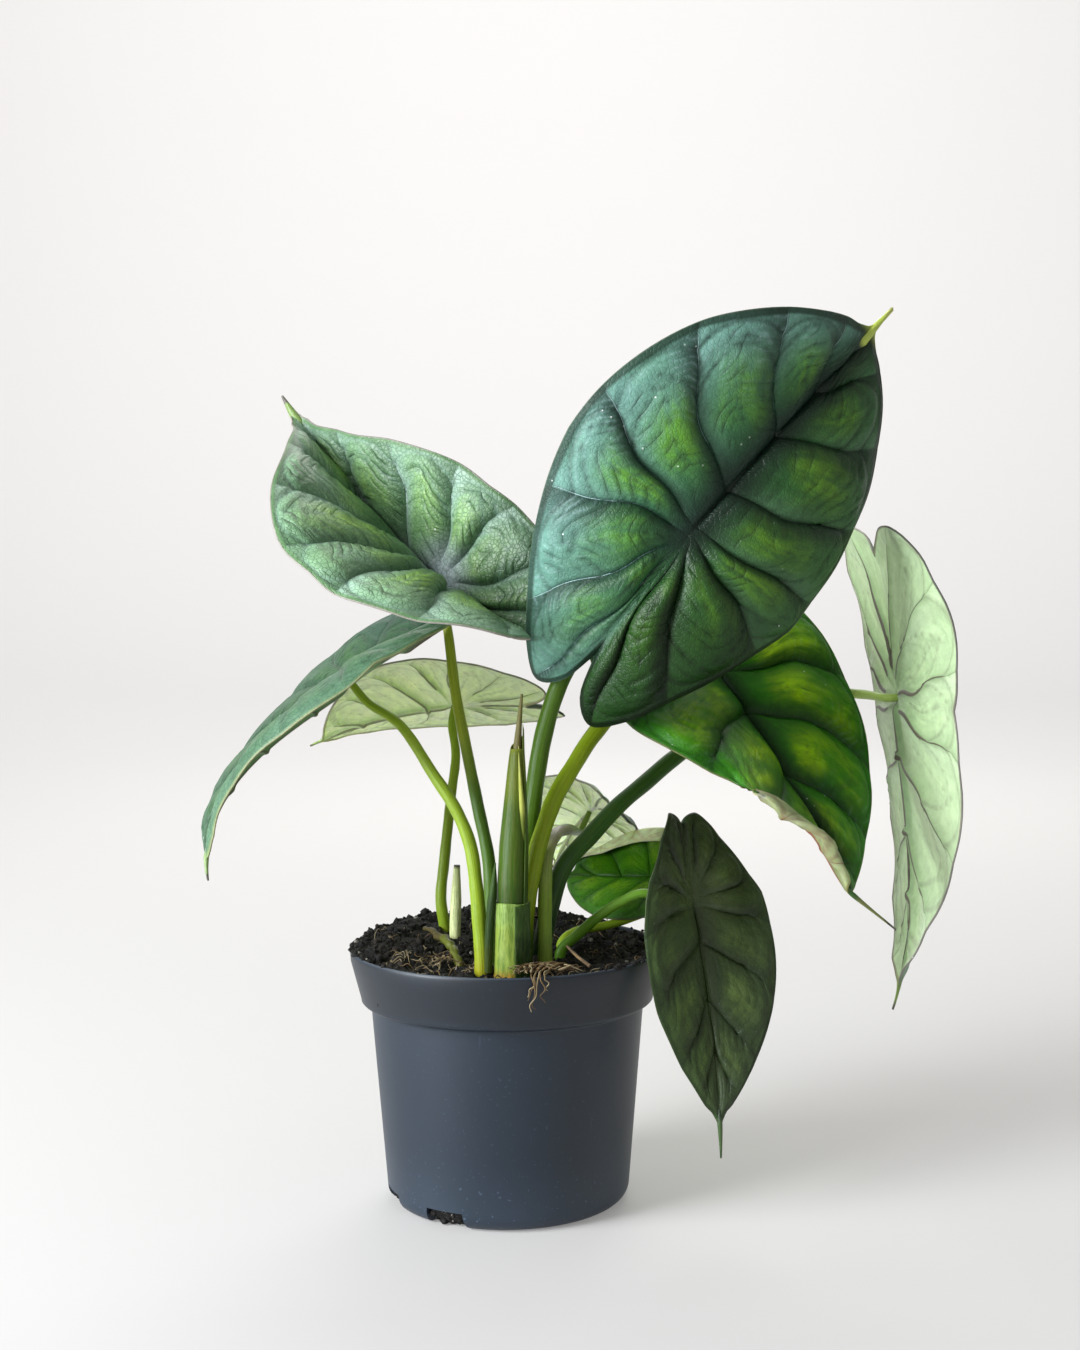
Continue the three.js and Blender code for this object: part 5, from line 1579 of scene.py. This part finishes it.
def makeRimBed():
    points, faces, amounts = [], [], []
    sides = rimBed["sides"]
    for j in range(sides):
        a = math.tau * j / sides
        turn = math.degrees(a)
        amount = rimBed["few"]
        for most, start, full, last, end in rimBed["spills"]:
            amount += most * ramp(start, full, turn) * (1 - ramp(last, end, turn))
        for r, z in rimBed["edges"]:
            points.append((r * math.cos(a), r * math.sin(a), z))
            amounts.append(amount)
        k = (j + 1) % sides
        faces.append((2 * j, 2 * j + 1, 2 * k + 1, 2 * k))
    return meshPiece("rimBed", points, faces, []), amounts


# how thickly a layer of crumbs lies at a place on the bed, in millimetres
def crumbAmount(layer, x, y, z):
    if z <= 90:    # under the surface, crumbs lie only in the drain slots
        return 1.0 if z < 8.5 else 0.0
    if layer == "coarse":
        return 0.35 + 1.3 * ramp(-10, -50, x) + 0.8 * ramp(20, 54, y)
    return 1.0 if math.hypot(x, y) > 12 else 0.5


def makeCrumbs(bed):
    shapes = [crumbShape(f"crumb{i}", 20 + i) for i in range(5)]
    tree = makeScatterTree(shapes)
    skin = groupMaterial("peatCrumb", peatSkin, peatColours, {"Specular IOR Level": 0.3}, 0.6, 0.3 * mm)
    for name, layer in crumbLayers.items():
        if name == "rim":
            source, amounts = makeRimBed()
        else:
            source = addObject(f"{name}Bed", bed.data.copy())
            amounts = [crumbAmount(name, *(c / mm for c in v.co)) for v in source.data.vertices]
        source.data.attributes.new("crumbs", "FLOAT", "POINT").data.foreach_set("value", amounts)
        addModifier(source, tree, layer | {"Skin": skin})
        piece = bakeObject(source, f"soil_crumbs_{name}")
        for v in piece.data.vertices:
            v.co.z = max(v.co.z, 0.1 * mm)
        finishPiece(piece, "soil")
        print(name, "crumbs", len(piece.data.polygons))
    for shape in shapes:
        bpy.data.objects.remove(shape)


bed = makeSoil()
makeCrumbs(bed)
print("soil")

fibres = {
    "count": 115, "steps": 16, "seed": 5, "inFront": 0.55, "front": (195, 300), "farthest": 57, "lowest": 97,
    "root": [(0, -54, 97.4), (6, -53.5, 98.4), (12, -52.5, 99.0), (19, -51.5, 98.6), (27, -50, 97.6)],
    "strands": 22, "spread": 2.3,
    # those that hang over the rim: where, how far down and how far sideways
    "hanging": [(8.5, 10.5, 1.2), (11.2, 11.8, -3.2), (11.5, 8.5, 1.4), (9.8, 6.0, -2.6), (10.0, 7.0, -2.4),
                (13.0, 3.5, 1.5)],
    "twig": [(21.5, -43, 104.5), (25, -46.5, 101.5), (29.5, -50.5, 98.6)],
    "colours": {"fibres": ((150, 136, 104), (112, 98, 70)), "roots": ((70, 54, 36), (104, 84, 54))},
}


def makeFibres():
    rng = random.Random(fibres["seed"])
    steps, farthest = fibres["steps"], fibres["farthest"]
    bundles = {"fibres": ([], []), "roots": ([], [])}

    def addFibre(kind, path, radius):
        bundles[kind][0].append(path)
        bundles[kind][1].append(radius)

    # loose ones that lie on the soil
    for i in range(fibres["count"]):
        front = rng.random() < fibres["inFront"]
        a = rng.uniform(*(math.radians(d) for d in fibres["front"])) if front else rng.uniform(0, math.tau)
        r = rng.uniform(28, 56) if front else 56 * math.sqrt(rng.random())
        x, y = r * math.cos(a), r * math.sin(a)
        way, bend = rng.uniform(0, math.tau), rng.uniform(-0.45, 0.45)
        length, lift = rng.uniform(5, 17), rng.uniform(0.2, 1.9)
        path = []
        for k in range(steps + 1):
            t = k / steps
            reach = math.hypot(x, y)
            if reach > farthest:
                x, y = x * farthest / reach, y * farthest / reach
            above = 0.35 + lift * math.sin(math.pi * t) + 0.3 * math.sin(9 * t + i)
            path.append((x, y, crumbledHeight(x, y) + above))
            way += bend + rng.uniform(-0.35, 0.35)
            x += math.cos(way) * length / steps
            y += math.sin(way) * length / steps
        radius = rng.uniform(0.1, 0.24) * (1 - 0.7 * np.linspace(-1, 1, steps + 1) ** 2)
        addFibre("fibres" if rng.random() < 0.5 else "roots", path, radius)
    # the strands of the root by the rim
    base = smoothPath(fibres["root"], 60)
    for i in range(fibres["strands"]):
        first, last = rng.randint(0, 18), rng.randint(34, 60)
        part = base[first:last]
        p, q = rng.uniform(0, 6), rng.uniform(0, 6)
        t = np.linspace(0, 1, len(part))
        spread = fibres["spread"]
        wave = np.stack([1.6 * np.sin(t * 17 + p), spread * np.sin(t * 13 + p + 2),
                         spread * 0.6 * np.sin(t * 15 + q)], -1)
        path = part + wave * (0.5 + 0.5 * rng.random())
        path[:, 2] = np.maximum(path[:, 2], fibres["lowest"])
        radius = rng.uniform(0.16, 0.42) * (1 - 0.75 * np.abs(2 * t - 1) ** 2.5)
        radius = radius * (1 + 0.2 * np.sin(t * 40 + q))
        addFibre("roots" if i % 3 else "fibres", path, radius)
    t = np.linspace(0, 1, 31)
    for i, (x, drop, lean) in enumerate(fibres["hanging"]):
        curve = smoothPath([
            (x + 1.5, -54.5, 98.0), (x + 0.4, -57.5, 98.2), (x, -59.6, 97.5), (x + lean * 0.2, -60.9, 96.2),
            (x + lean * 0.5 + 0.8, -60.9, 96 - drop * 0.35), (x + lean * 0.7 - 0.6, -60.7, 96 - drop * 0.7),
            (x + lean, -60.5, 96 - drop)], len(t) - 1)
        curve[:, 0] += 0.45 * np.sin(t * 19 + i) * t
        curve[:, 2] += 0.4 * np.sin(t * 13 + i) * t
        addFibre("fibres" if i % 2 else "roots", curve, 0.26 * (1 - 0.75 * t) + 0.1)
    addFibre("roots", smoothPath(fibres["twig"], 14), np.linspace(0.45, 0.7, 15))
    for name, (paths, radii) in bundles.items():
        first, second = fibres["colours"][name]
        colours = greenStalk | {"Foot": first, "Middle": second, "Top": first, "Streak": second,
                                "Foot End": 0.4, "Streak Amount": 0.6}
        skin = groupMaterial(f"{name}Skin", stalkSkin, colours, {"Specular IOR Level": 0.2}, 0.5, 0.2 * mm)
        finishPiece(sweptPiece(f"soil_{name}", paths, radii, 6, skin), "soil")


makeFibres()
print("roots and fibres")
